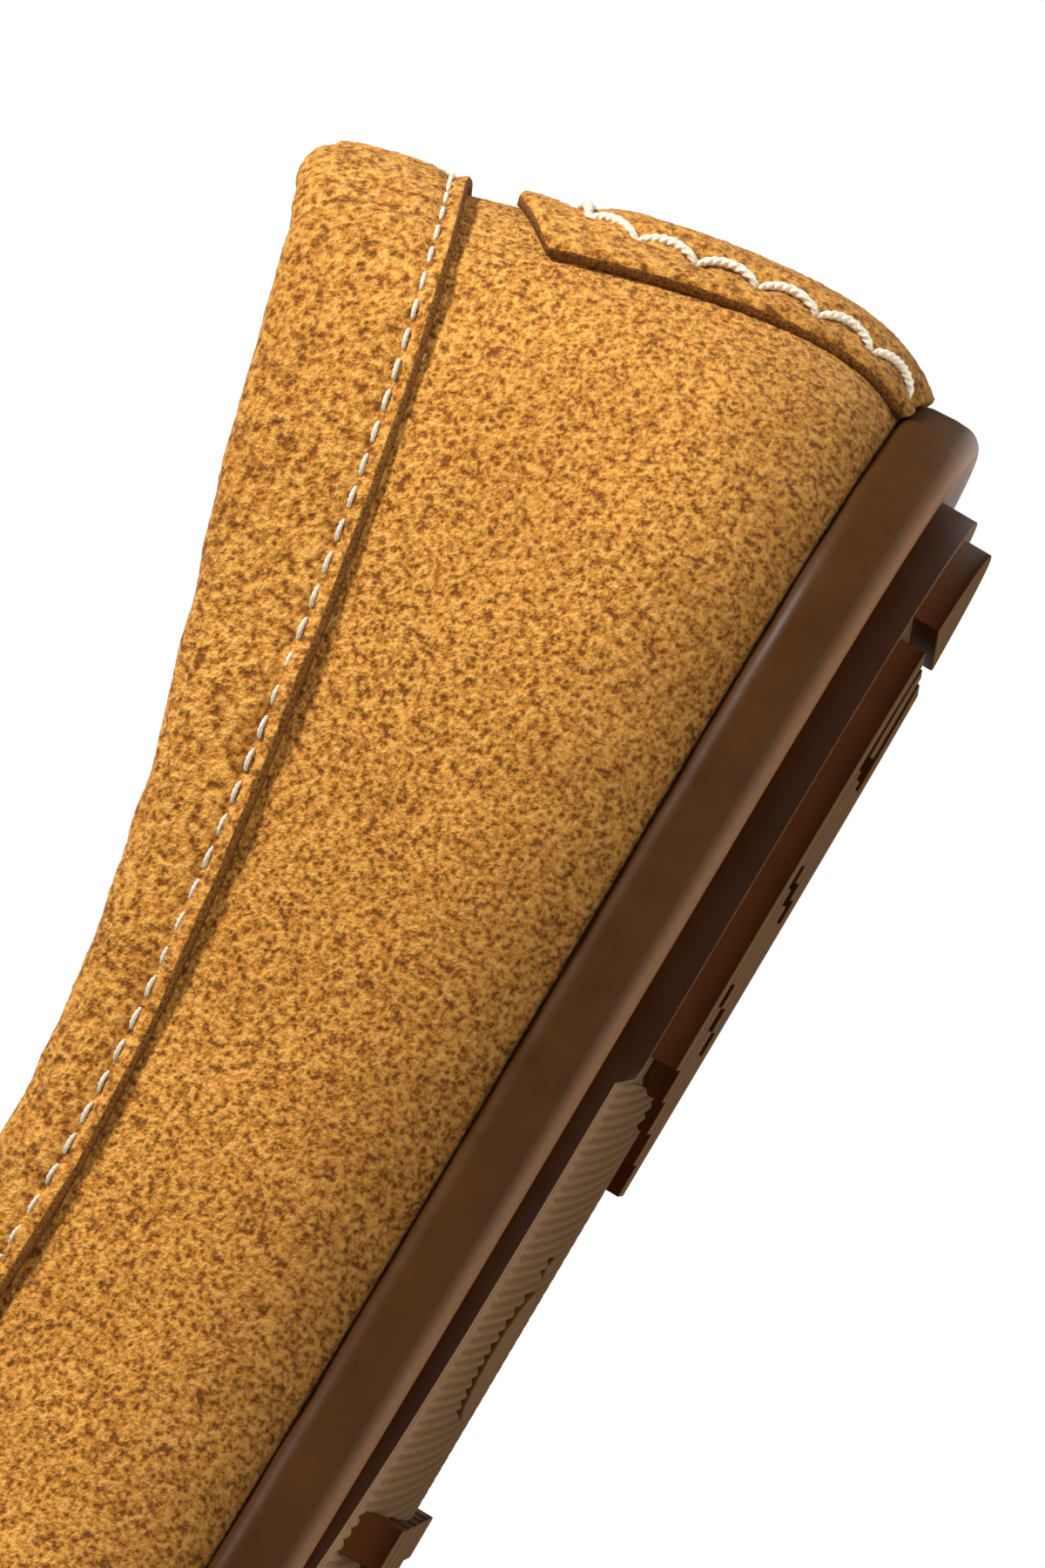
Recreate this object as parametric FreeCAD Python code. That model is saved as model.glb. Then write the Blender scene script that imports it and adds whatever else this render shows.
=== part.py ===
import FreeCAD, Part
import math
import os

# A left slip-on moccasin of suede on a gum rubber sole, one STEP file per piece, in millimetres.
# The toe points to -Y, the heel to +Y, the outer side of the foot to +X, and the ground is z = 0.

Vector = FreeCAD.Vector

# Heights of the sole layers above the ground
LUG_DEPTH = 2.8
TREAD_TOP = 6.0
LUG_ROOT = 0.6
SOLE_TOP = 13.5
TOE_SPRING = 6.5
SPRING_START = -45.0
SPRING_LENGTH = 80.0
SLAB_REAR = 140.0
SLAB_FRONT = -140.0

# Plan offsets from the featherline, outwards positive
BAND_OUT = 1.5
TREAD_OUT = -5.7
LUG_OUT = -7.7
LUG_RING_WIDTH = 8.0
BAND_LOW_RADIUS = 2.5

# Tread pattern, as distances from the rear edge of the tread towards the toe
TREAD_REAR = 110.3
HEEL_CRESCENT = 8.5
HEEL_PLATE_START = 11.0
SLOT_SLANT = 5.0
SLOT_PIVOT_X = 22.0
HEEL_BREAST = (57.0, 60.5, 64.0, 67.5, 71.0)
FOREFOOT_START = 107.0
STARTER_LENGTH = 4.6
FOREFOOT_END = 226.0
GROOVE = 2.4
INNER_COLUMNS = (10.6, 0.0, -10.6)
INNER_BLOCK_WIDTH = 8.2
HEEL_BLOCK_ROWS = 4
FOREFOOT_BLOCK_ROWS = 9
PLATE_ROWS = 6
RIDGE_PITCH = 1.4
RIDGE_WIDTH = 0.8
RIDGE_HEIGHT = 0.45
RIDGE_ANGLE = -10.0
RIDGES_EACH_WAY = 24
ARCH_END = 116.0
ARCH_BOTTOM = 1.5
ARCH_EDGE = 4.8
ARCH_HALF_WIDTH = 27.0
BOSS_X = 10.0
BOSS_REACH = 89.0
BOSS_LENGTH = 14.0
BOSS_WIDTH = 9.0
BOSS_DEPTH = 0.9
NUB_REACH = 79.5
NUB_RADIUS = 1.2
NUB_DEPTH = 0.8

# Upper, as offsets from the outer face of the suede wrap, inwards negative
MARGIN = 10.0
SOLE_GAP = 0.2
SUEDE = 1.4
STIFFENER = (-1.55, -2.75)
LINING = (-2.9, -3.45)
COLLAR_RADIUS = 3.1
COLLAR_LEATHER = 1.25
COLLAR_MIDDLE = -1.7
COLLAR_INSIDE_DEPTH = 14.0
QUARTER_UNDERLAP = 4.0
TAB_FACE = 1.7
TAB_GAP = 0.1
TAB_HALF_TOP = 14.5
TAB_HALF_FOOT = 10.0
TAB_TOP_HEIGHT = 56.0
TAB_CORNER_DROP = 6.0
TAB_INSET = 3.8
TAB_FOOT = 0.06
TAB_STITCH_FOOT = 0.03
TAB_STITCH_TOP = 0.9
TAB_PLACES_PER_MM = 0.064
COUNTER_TOP = 0.62
COUNTER_REACH = 3.2
PUFF_TOP = 0.55
PUFF_REACH = 2.6
STIFFENER_FOOT = 0.06
LINING_FOOT = 0.1
VAMP_TOP = 0.985
SEAM_GAP = 0.02

# Inside the shoe, heights above the top of the sole
MARGIN_TOP = 1.6
BOARD_TOP = 3.4
FOOTBED_TOP = 6.6
SOCK_TOP = 7.4
CUSHION_RADIUS = 20.0
CUSHION_Y = 82.0
CUSHION_HEIGHT = 2.0
CUSHION_GAP = 0.1
BOARD_INSET = 3.4
FOOTBED_INSET = 3.0
SOCK_INSET = 2.6

# Plug and tongue
PLUG_CROWN = 5.5
PLUG_GAP = 0.35
PLUG_RISE = 0.6
PLUG_END = 0.97
TONGUE_RISE = 11.0
TONGUE_LENGTH = 22.0
TONGUE_TUCK = 12.0
TONGUE_THICKNESS = 1.6
TONGUE_LINING = 0.7
TONGUE_HALF_WIDTH = 17.0
TONGUE_DROP = 2.2
TUCK_SLOPE = 0.24

# Threads
FINE_THREAD = 0.45
FINE_PITCH = 3.3
FINE_STITCH = 2.2
HEAVY_THREAD = 0.9
HEAVY_PITCH = 6.3
HEAVY_STITCH = 5.6
SEAM_STITCH = 4.4
SEAM_STITCHES = 34
STITCH_CLEARANCE = 0.12
COLLAR_STITCH_RISE = 1.8
SIDE_SEAM_ROWS = (0.06, 0.13)

# Stations round the shoe, from the centre of the heel along the outer side to the toe and back along
# the inner side: featherline x and y, then x, y and z of the top edge (the mouth, or the plug seam),
# then how far the wall leaves the featherline outwards, how far outside and below the edge it
# arrives, and the width of the collar band there.
STATIONS = (
    (0.0, 118.5, 0.0, 110.8, 76.2, 9.5, 7.0, 26.0, 15.6),
    (15.5, 114.0, 12.3, 106.6, 74.0, 9.5, 7.0, 25.0, 15.8),
    (26.0, 102.5, 19.4, 96.0, 70.4, 9.0, 6.5, 23.0, 16.0),
    (30.5, 86.0, 22.6, 81.5, 66.4, 8.5, 6.5, 21.0, 15.6),
    (32.0, 62.0, 24.0, 60.0, 59.7, 8.0, 6.5, 18.0, 12.6),
    (32.0, 36.0, 24.5, 38.0, 54.4, 7.5, 6.5, 16.0, 10.2),
    (33.5, 10.0, 25.0, 16.0, 52.2, 7.0, 7.0, 14.0, 9.3),
    (38.0, -14.0, 24.5, -4.0, 53.4, 6.5, 8.0, 13.0, 9.0),
    (43.0, -38.0, 21.5, -20.0, 57.0, 6.0, 10.0, 10.0, 9.0),
    (45.5, -60.0, 21.8, -44.0, 54.0, 6.0, 12.0, 6.0, 9.0),
    (43.0, -84.0, 20.5, -68.0, 49.0, 6.5, 12.0, 4.0, 9.0),
    (34.0, -105.0, 16.5, -86.0, 45.5, 6.5, 11.0, 3.0, 9.0),
    (17.5, -118.5, 8.0, -97.5, 43.0, 6.5, 10.0, 3.0, 9.0),
    (-3.0, -122.0, -3.0, -101.0, 42.5, 6.5, 10.0, 3.0, 9.0),
    (-22.0, -116.0, -14.0, -96.5, 43.2, 6.5, 10.0, 3.0, 9.0),
    (-36.0, -101.0, -21.5, -84.0, 45.5, 6.5, 11.0, 3.0, 9.0),
    (-42.0, -79.0, -24.0, -65.0, 49.0, 6.5, 12.0, 4.0, 9.0),
    (-42.0, -55.0, -23.5, -42.0, 54.5, 6.0, 12.0, 6.0, 9.0),
    (-37.5, -32.0, -21.5, -20.0, 57.5, 6.0, 10.0, 10.0, 9.0),
    (-31.5, -9.0, -24.0, -3.0, 54.5, 6.5, 8.0, 13.0, 9.0),
    (-28.5, 14.0, -24.0, 16.0, 53.6, 7.0, 7.0, 14.0, 9.3),
    (-28.5, 38.0, -23.5, 38.0, 55.6, 7.5, 6.5, 16.0, 10.2),
    (-30.0, 62.0, -23.5, 60.0, 60.8, 8.0, 6.5, 18.0, 12.6),
    (-29.5, 86.0, -22.0, 81.5, 68.6, 8.5, 6.5, 21.0, 15.6),
    (-25.0, 102.5, -18.7, 96.0, 73.0, 9.0, 6.5, 23.0, 16.0),
    (-15.0, 114.0, -12.0, 106.6, 75.2, 9.5, 7.0, 25.0, 15.8),
)
COUNT = len(STATIONS)

# Moves the stations so that the finished shoe is centred on the origin
ORIGIN_X = -1.36
ORIGIN_Y = -0.49

OUTER_THROAT = 8.0
INNER_THROAT = 18.0
TOE = 13.0
FOOT_RISE = 8.5
SAME_DIRECTION = 1
SURFACE_TOLERANCE = 0.02
MARGIN_STEPS = (-1.0, -0.6, -0.3, -0.08)


def weights(u):
    """Cubic B-spline weights of the four poles round a span, at 0 to 1 along it."""
    return ((1 - u) ** 3 / 6, (3 * u ** 3 - 6 * u ** 2 + 4) / 6,
            (-3 * u ** 3 + 3 * u ** 2 + 3 * u + 1) / 6, u ** 3 / 6)


def fit_poles(rows, rounds=40):
    """Poles of the closed uniform cubic spline that passes through the rows."""
    poles = [list(row) for row in rows]
    for _ in range(rounds):
        for index, row in enumerate(rows):
            before = poles[index - 1]
            after = poles[(index + 1) % len(rows)]
            pole = poles[index]
            for column, value in enumerate(row):
                pole[column] = (6 * value - before[column] - after[column]) / 4
    return poles


POLES = fit_poles(STATIONS)


def station(t):
    """All the station values at place t round the shoe."""
    start = math.floor(t)
    rows = [POLES[(start + step) % COUNT] for step in (-1, 0, 1, 2)]
    shares = weights(t - start)
    values = [sum(share * row[column] for share, row in zip(shares, rows)) for column in range(len(rows[0]))]
    for column, move in ((0, ORIGIN_X), (1, ORIGIN_Y), (2, ORIGIN_X), (3, ORIGIN_Y)):
        values[column] += move
    return values


def lift(y):
    """Toe spring: how far the sole rises above its flat part."""
    return TOE_SPRING * (max(0.0, SPRING_START - y) / SPRING_LENGTH) ** 2


def outward(t):
    """Plan direction square to the featherline."""
    before = station(t - 0.02)
    after = station(t + 0.02)
    run = Vector(after[0] - before[0], after[1] - before[1], 0)
    return Vector(-run.y, run.x, 0).normalize()


def wrap(t, w):
    """Outer face of the upper: w is -1 to 0 under the foot and 0 to 1 up to the top edge."""
    x, y, edge_x, edge_y, edge_z, bulge, lean, drop, _ = station(t)
    out = outward(t)
    foot = Vector(x, y, SOLE_TOP + SOLE_GAP + lift(y))
    if w < 0:
        return foot + out * (MARGIN * w)
    edge = Vector(edge_x, edge_y, edge_z)
    low = foot + out * bulge + Vector(0, 0, FOOT_RISE)
    high = edge + out * lean - Vector(0, 0, drop)
    v = 1 - w
    return foot * v ** 3 + low * (3 * v * v * w) + high * (3 * v * w * w) + edge * w ** 3


def wrap_normal(t, w):
    """Outward unit normal of the upper."""
    along = wrap(t + 0.03, w) - wrap(t - 0.03, w)
    up = wrap(t, min(w + 0.02, 1)) - wrap(t, w - 0.02)
    return up.cross(along).normalize()


def wrap_offset(t, w, offset):
    return wrap(t, w) + wrap_normal(t, w) * offset


def w_at_height(t, z):
    """Where the upper's outer face reaches height z."""
    low, high = 0.0, 1.0
    for _ in range(24):
        middle = (low + high) / 2
        if wrap(t, middle).z < z:
            low = middle
        else:
            high = middle
    return (low + high) / 2


def edge_height(t):
    return station(t)[4]


def roll_start(t):
    """Where the collar's outer leg ends and its rolled top begins."""
    return w_at_height(t, edge_height(t) - COLLAR_RADIUS)


def band_low(t, rise=0.0):
    """Lower edge of the collar band, or a line a little above it."""
    return w_at_height(t, edge_height(t) - station(t)[8] + rise)


def quarter_top(t):
    return band_low(t, QUARTER_UNDERLAP)


def spread(start, end, steps):
    return [start + (end - start) * step / steps for step in range(steps + 1)]


def surface(rows):
    face = Part.BSplineSurface()
    face.approximate(Points=rows, DegMin=3, DegMax=5, Tolerance=SURFACE_TOLERANCE, Continuity=2)
    return face


def rim_edges(face):
    """The four edges of a surface, in a fixed order."""
    u_low, u_high, v_low, v_high = face.bounds()
    rims = (face.uIso(u_low), face.uIso(u_high), face.vIso(v_low), face.vIso(v_high))
    return [rim.toShape() for rim in rims]


def sheet_solid(outer_rows, inner_rows):
    """Closed solid between two grids of points, with ruled edges."""
    outer = surface(outer_rows)
    inner = surface(inner_rows)
    faces = [outer.toShape(), inner.toShape()]
    for first, second in zip(rim_edges(outer), rim_edges(inner)):
        faces.append(Part.makeRuledSurface(first, second, SAME_DIRECTION))
    shell = Part.makeShell(faces)
    shell.sewShape()
    solid = Part.makeSolid(shell)
    if solid.Volume < 0:
        solid.reverse()
    return solid


def layer(start, end, low, high, outer, inner, steps_t, steps_w=10):
    """Sheet of the upper between two offsets; low and high give its w limits at each t."""
    places = spread(start, end, steps_t)

    def heights(t):
        if low(t) < 0:
            return list(MARGIN_STEPS) + spread(MARGIN_STEPS[-1] + 0.11, high(t), steps_w - len(MARGIN_STEPS))
        return spread(low(t), high(t), steps_w)

    def grid(offset):
        return [[wrap_offset(t, w, offset) for w in heights(t)] for t in places]

    return sheet_solid(grid(outer), grid(inner))


def outline(offset):
    """Closed plan curve at an offset from the featherline."""
    points = []
    for step in range(2 * COUNT):
        t = step / 2
        x, y = station(t)[:2]
        points.append(Vector(x, y, 0) + outward(t) * offset)
    curve = Part.BSplineCurve()
    curve.interpolate(Points=points, PeriodicFlag=True)
    return curve


PRISM_FLOOR = -5.0
PRISM_TALL = 60.0
HALF_SPAN = 70.0


def plan_prism(offset):
    """Upright prism on the plan outline."""
    face = Part.Face(Part.Wire(outline(offset).toShape()))
    face.translate(Vector(0, 0, PRISM_FLOOR))
    return face.extrude(Vector(0, 0, PRISM_TALL))


def level_slab(low, high):
    """Slab across the shoe between two heights: flat to the rear, bent up by the toe spring in front."""
    raised = lift(SLAB_FRONT)

    def corner(y, height):
        return Vector(-HALF_SPAN, y, height)

    def bend(height):
        curve = Part.BezierCurve()
        middle = (SPRING_START + SLAB_FRONT) / 2
        curve.setPoles([corner(SPRING_START, height), corner(middle, height),
                        corner(SLAB_FRONT, height + raised)])
        return curve.toShape()

    edges = [
        Part.makeLine(corner(SLAB_REAR, low), corner(SPRING_START, low)),
        bend(low),
        Part.makeLine(corner(SLAB_FRONT, low + raised), corner(SLAB_FRONT, high + raised)),
        bend(high),
        Part.makeLine(corner(SPRING_START, high), corner(SLAB_REAR, high)),
        Part.makeLine(corner(SLAB_REAR, high), corner(SLAB_REAR, low)),
    ]
    face = Part.Face(Part.Wire(Part.__sortEdges__(edges)))
    return face.extrude(Vector(2 * HALF_SPAN, 0, 0))


def sole_layer(offset, low, high):
    return plan_prism(offset).common(level_slab(low, high)).Solids[0]


def block(x_low, x_high, reach_start, reach_end):
    """Upright block by x range and by distances from the rear of the tread towards the toe."""
    length = reach_end - reach_start
    corner = Vector(x_low, TREAD_REAR - reach_end, PRISM_FLOOR)
    return Part.makeBox(x_high - x_low, length, PRISM_TALL, corner)


def rows_of_blocks(x_low, x_high, start, end, count):
    """Blocks in a row towards the toe, with a groove between each two."""
    length = (end - start - GROOVE * (count - 1)) / count
    blocks = []
    for index in range(count):
        first = start + index * (length + GROOVE)
        blocks.append(block(x_low, x_high, first, first + length))
    return blocks


def slanted(reach):
    """Everything behind a line across the heel that runs further forward on the inner side."""
    field = block(-HALF_SPAN, HALF_SPAN, -HALF_SPAN, reach)
    field.rotate(Vector(SLOT_PIVOT_X, TREAD_REAR - reach, 0), Vector(0, 0, 1), SLOT_SLANT)
    return field


def lug_shapes():
    """All tread lugs, as upright prisms."""
    rim = plan_prism(LUG_OUT)
    inside = plan_prism(LUG_OUT - LUG_RING_WIDTH)
    ring = rim.cut(inside)
    core = plan_prism(LUG_OUT - LUG_RING_WIDTH - GROOVE)
    half = INNER_BLOCK_WIDTH / 2
    plates = [block(0, HALF_SPAN, 0, HEEL_BREAST[0]), block(-HALF_SPAN, 0, 0, HEEL_BREAST[-1])]
    heel = [ring.common(plate) for plate in plates]
    for centre, breast in zip(INNER_COLUMNS, HEEL_BREAST[1:4]):
        for piece in rows_of_blocks(centre - half, centre + half, HEEL_PLATE_START, breast, HEEL_BLOCK_ROWS):
            heel.append(core.common(piece))
    front_start = FOREFOOT_START + STARTER_LENGTH + GROOVE
    front = [block(-HALF_SPAN, HALF_SPAN, FOREFOOT_START, FOREFOOT_START + STARTER_LENGTH)]
    front += rows_of_blocks(-HALF_SPAN, HALF_SPAN, front_start, FOREFOOT_END, PLATE_ROWS)
    shapes = [rim.common(slanted(HEEL_CRESCENT))]
    shapes += [shape.cut(slanted(HEEL_PLATE_START)) for shape in heel]
    shapes += [ring.common(plate) for plate in front]
    for centre in INNER_COLUMNS + (2 * INNER_COLUMNS[0], 2 * INNER_COLUMNS[-1]):
        for piece in rows_of_blocks(centre - half, centre + half, FOREFOOT_START, FOREFOOT_END,
                                    FOREFOOT_BLOCK_ROWS):
            shapes.append(core.common(piece))
    return shapes


def arch_window():
    return block(-HALF_SPAN, HALF_SPAN, HEEL_BREAST[0] + GROOVE, ARCH_END)


def arch_barrel(proud):
    """Long drum along the shoe whose underside gives the arch its crowned bottom."""
    drop = ARCH_EDGE - ARCH_BOTTOM
    radius = (ARCH_HALF_WIDTH ** 2 + drop ** 2) / (2 * drop)
    start = Vector(0, TREAD_REAR - ARCH_END, ARCH_BOTTOM + radius)
    return Part.makeCylinder(radius + proud, ARCH_END, start, Vector(0, 1, 0))


def arch_pad():
    """Crowned underside between the heel tread and the forefoot tread."""
    field = plan_prism(TREAD_OUT).common(arch_window())
    return field.common(arch_barrel(0)).common(level_slab(0, TREAD_TOP))


def arch_ridges():
    """Fine ridges across the arch."""
    field = plan_prism(TREAD_OUT).common(arch_window())
    skin = arch_barrel(RIDGE_HEIGHT).common(level_slab(0, TREAD_TOP - RIDGE_HEIGHT))
    middle_y = TREAD_REAR - (HEEL_BREAST[0] + ARCH_END) / 2
    bars = []
    for index in range(-RIDGES_EACH_WAY, RIDGES_EACH_WAY + 1):
        bar = Part.makeBox(2 * HALF_SPAN, RIDGE_WIDTH, PRISM_TALL,
                           Vector(-HALF_SPAN, index * RIDGE_PITCH - RIDGE_WIDTH / 2, PRISM_FLOOR))
        bar.rotate(Vector(0, 0, 0), Vector(0, 0, 1), RIDGE_ANGLE)
        bar.translate(Vector(0, middle_y, 0))
        bars.append(field.common(bar).common(skin))
    return bars


def boss_shapes():
    """Plain oval boss on the arch, and the small round nub behind it."""
    ellipse = Part.Ellipse(Vector(0, 0, 0), BOSS_LENGTH / 2, BOSS_WIDTH / 2)
    face = Part.Face(Part.Wire(ellipse.toShape()))
    face.rotate(Vector(0, 0, 0), Vector(0, 0, 1), 90)
    face.translate(Vector(BOSS_X, TREAD_REAR - BOSS_REACH, 0))
    boss = face.extrude(Vector(0, 0, ARCH_EDGE)).common(arch_barrel(BOSS_DEPTH))
    stub = Part.makeCylinder(NUB_RADIUS, ARCH_EDGE, Vector(BOSS_X, TREAD_REAR - NUB_REACH, 0))
    nub = stub.common(arch_barrel(NUB_DEPTH))
    return [boss, nub]


def outsole():
    """Tread layer: base, lugs, arch ridges and boss in one moulding."""
    base = sole_layer(TREAD_OUT, LUG_DEPTH, TREAD_TOP).cut(arch_window())
    lug_slab = level_slab(0, TREAD_TOP - LUG_ROOT)
    added = [arch_pad()] + arch_ridges() + boss_shapes()
    added += [shape.common(lug_slab) for shape in lug_shapes()]
    return base.multiFuse([shape for shape in added if shape.Volume > 0]).removeSplitter()


def midsole():
    """Sidewall layer with a rounded lower rim."""
    body = sole_layer(BAND_OUT, TREAD_TOP, SOLE_TOP)
    rims = [edge for edge in body.Edges if edge.BoundBox.YLength > MARGIN]
    low_rims = [edge for edge in rims if edge.BoundBox.ZMin < (TREAD_TOP + SOLE_TOP) / 2]
    body = body.makeFillet(BAND_LOW_RADIUS, low_rims)
    return body


def inside_layer(inset, low, high):
    """Flat piece inside the shoe, between two heights above the top of the sole."""
    return sole_layer(-inset, SOLE_TOP + low, SOLE_TOP + high)


def heel_cushion():
    """Soft disc in a pocket under the footbed."""
    return Part.makeCylinder(CUSHION_RADIUS, CUSHION_HEIGHT, Vector(0, CUSHION_Y, SOLE_TOP + BOARD_TOP))


def footbed():
    body = inside_layer(FOOTBED_INSET, BOARD_TOP, FOOTBED_TOP)
    pocket = Part.makeCylinder(CUSHION_RADIUS + CUSHION_GAP, CUSHION_HEIGHT + CUSHION_GAP,
                               Vector(0, CUSHION_Y, SOLE_TOP + BOARD_TOP))
    return body.cut(pocket).Solids[0]


def constant(value):
    return lambda t: value


def quarter(start, end):
    return layer(start, end, constant(-1.0), quarter_top, 0.0, -SUEDE, 20, 14)


def vamp():
    return layer(OUTER_THROAT, INNER_THROAT, constant(-1.0), constant(VAMP_TOP), 0.0, -SUEDE, 26, 14)


def collar_section(t, radius, low, inside):
    """Points of an upturned U at place t: outer leg, rolled top, inner leg."""
    top = roll_start(t)
    middle = COLLAR_MIDDLE
    points = [wrap_offset(t, w, middle + radius) for w in spread(low, top, 4)]
    centre = wrap_offset(t, top, middle)
    normal = wrap_normal(t, top)
    up = (wrap(t, top + 0.01) - wrap(t, top - 0.01)).normalize()
    for angle in (45, 90, 135):
        turn = math.radians(angle)
        points.append(centre + normal * (radius * math.cos(turn)) + up * (radius * math.sin(turn)))
    points += [wrap_offset(t, w, middle - radius) for w in spread(top, inside, 3)]
    return points


def collar_band():
    outer = []
    inner = []
    for t in spread(INNER_THROAT, COUNT + OUTER_THROAT, 40):
        low = band_low(t)
        inside = w_at_height(t, edge_height(t) - COLLAR_INSIDE_DEPTH)
        outer.append(collar_section(t, COLLAR_RADIUS, low, inside))
        inner.append(collar_section(t, COLLAR_RADIUS - COLLAR_LEATHER, low, inside))
    return sheet_solid(outer, inner)


def collar_padding():
    reach = COLLAR_RADIUS - COLLAR_LEATHER - 0.15

    def low(t):
        return band_low(t, QUARTER_UNDERLAP + 0.6)

    return layer(INNER_THROAT + 0.05, COUNT + OUTER_THROAT - 0.05, low, roll_start,
                 COLLAR_MIDDLE + reach, COLLAR_MIDDLE - reach, 36, 4)


def tab_half(b):
    """Half the width of the heel tab at b, 0 at its foot and 1 at its top."""
    return TAB_HALF_FOOT + (TAB_HALF_TOP - TAB_HALF_FOOT) * b ** 0.8


def tab_place(a, b):
    """Place on the upper of a point of the heel tab: a is -1 to 1 across, b is 0 to 1 up."""
    t = a * tab_half(b) * TAB_PLACES_PER_MM
    top = w_at_height(t, TAB_TOP_HEIGHT - TAB_CORNER_DROP * abs(a) ** 1.6)
    return t, TAB_FOOT + (top - TAB_FOOT) * b


def heel_tab():
    def grid(offset):
        return [[wrap_offset(*tab_place(a, b), offset) for b in spread(0, 1, 10)] for a in spread(-1, 1, 16)]

    return sheet_solid(grid(TAB_FACE), grid(TAB_GAP))


def quarter_lining():
    def top(t):
        return band_low(t, QUARTER_UNDERLAP - 1.0)

    start = INNER_THROAT + SEAM_GAP
    end = COUNT + OUTER_THROAT - SEAM_GAP
    return layer(start, end, constant(LINING_FOOT), top, *LINING, 40, 10)


def vamp_lining():
    start = OUTER_THROAT + SEAM_GAP
    end = INNER_THROAT - SEAM_GAP
    return layer(start, end, constant(LINING_FOOT), constant(PLUG_END), *LINING, 26, 10)


def heel_counter():
    def top(t):
        return COUNTER_TOP - 0.004 * (t - COUNT) ** 4

    start = COUNT - COUNTER_REACH
    end = COUNT + COUNTER_REACH
    return layer(start, end, constant(STIFFENER_FOOT), top, *STIFFENER, 16, 8)


def toe_puff():
    low = constant(STIFFENER_FOOT)
    return layer(TOE - PUFF_REACH, TOE + PUFF_REACH, low, constant(PUFF_TOP), *STIFFENER, 16, 8)


def plug_rows(offset):
    """Grid across the plug, from the throat to the toe."""
    rows = []
    for share in spread(0, PLUG_END, 14):
        outer_t = OUTER_THROAT + (TOE - OUTER_THROAT) * share
        inner_t = INNER_THROAT + (TOE - INNER_THROAT) * share
        ends = []
        for t in (outer_t, inner_t):
            edge = wrap(t, 1.0)
            ends.append(edge - outward(t) * PLUG_GAP)
        crown = PLUG_CROWN * (1 - 0.55 * share) * min(1.0, ((1 - share) / 0.25) ** 0.5)
        row = []
        for across in spread(-1, 1, 10):
            point = ends[0] * ((1 - across) / 2) + ends[1] * ((1 + across) / 2)
            row.append(point + Vector(0, 0, offset + crown * (1 - across ** 2)))
        rows.append(row)
    return rows


def plug():
    return sheet_solid(plug_rows(PLUG_RISE), plug_rows(PLUG_RISE - SUEDE))


def tongue_rows(offset, half_width, tuck):
    """Grid of the tongue, from under the plug up over the instep."""
    throat = wrap(OUTER_THROAT, 1.0)
    rows = []
    for reach in spread(-tuck, TONGUE_LENGTH, 8):
        free = max(0.0, reach / TONGUE_LENGTH)
        rise = TONGUE_RISE * free ** 1.25 + TUCK_SLOPE * min(0.0, reach) - TONGUE_DROP - offset
        narrowing = 1 - 0.25 * free ** 3
        row = []
        for across in spread(-1, 1, 8):
            x = ORIGIN_X + across * half_width * narrowing
            z = throat.z + PLUG_CROWN * (1 - 1.25 * across ** 2) + rise
            row.append(Vector(x, throat.y + reach, z))
        rows.append(row)
    return rows


def tongue():
    return sheet_solid(tongue_rows(0.0, TONGUE_HALF_WIDTH, TONGUE_TUCK),
                       tongue_rows(TONGUE_THICKNESS, TONGUE_HALF_WIDTH, TONGUE_TUCK))


def tongue_lining():
    start = TONGUE_THICKNESS + 0.1
    return sheet_solid(tongue_rows(start, TONGUE_HALF_WIDTH - 1, TONGUE_TUCK),
                       tongue_rows(start + TONGUE_LINING, TONGUE_HALF_WIDTH - 1, TONGUE_TUCK))


def stitch(start, end, thickness):
    """One stitch, as a round bar between two points."""
    run = end - start
    return Part.makeCylinder(thickness / 2, run.Length, start, run)


def stitches_along(path, pitch, length, thickness):
    """Separate stitches at an even pitch along a function of 0 to 1."""
    points = [path(share) for share in spread(0, 1, 500)]
    lengths = [0.0]
    for before, after in zip(points, points[1:]):
        lengths.append(lengths[-1] + (after - before).Length)

    def at(distance):
        index = max(i for i, value in enumerate(lengths) if value <= distance)
        return points[index]

    total = lengths[-1]
    count = int((total - length) // pitch) + 1
    lead = (total - (count - 1) * pitch - length) / 2
    bars = [stitch(at(lead + k * pitch), at(lead + k * pitch + length), thickness) for k in range(count)]
    return Part.makeCompound(bars)


def collar_stitching():
    face = COLLAR_MIDDLE + COLLAR_RADIUS + FINE_THREAD / 2 + STITCH_CLEARANCE

    def path(share):
        t = INNER_THROAT + 0.2 + share * (COUNT + OUTER_THROAT - INNER_THROAT - 0.4)
        return wrap_offset(t, band_low(t, COLLAR_STITCH_RISE), face)

    return stitches_along(path, FINE_PITCH, FINE_STITCH, FINE_THREAD)


def heel_tab_stitching():
    """One line of stitches up one side of the heel tab, over its top and down the other side."""
    face = TAB_FACE + HEAVY_THREAD / 2 + STITCH_CLEARANCE

    def path(share):
        turn = math.pi * share * share * (3 - 2 * share)
        across = math.copysign(math.sqrt(abs(math.cos(turn))), math.cos(turn))
        b = TAB_STITCH_FOOT + (TAB_STITCH_TOP - TAB_STITCH_FOOT) * math.sqrt(math.sin(turn))
        return wrap_offset(*tab_place(across * (1 - TAB_INSET / tab_half(b)), b), face)

    return stitches_along(path, HEAVY_PITCH, HEAVY_STITCH, HEAVY_THREAD)


def plug_stitching():
    """Hand stitches that cross the plug seam."""
    bars = []
    rise = Vector(0, 0, PLUG_RISE + HEAVY_THREAD / 2 + 0.35)
    for t in spread(OUTER_THROAT + 0.15, INNER_THROAT - 0.15, SEAM_STITCHES):
        middle = wrap(t, 1.0) + rise
        reach = outward(t) * (SEAM_STITCH / 2)
        bars.append(stitch(middle + reach, middle - reach, HEAVY_THREAD))
    return Part.makeCompound(bars)


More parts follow.
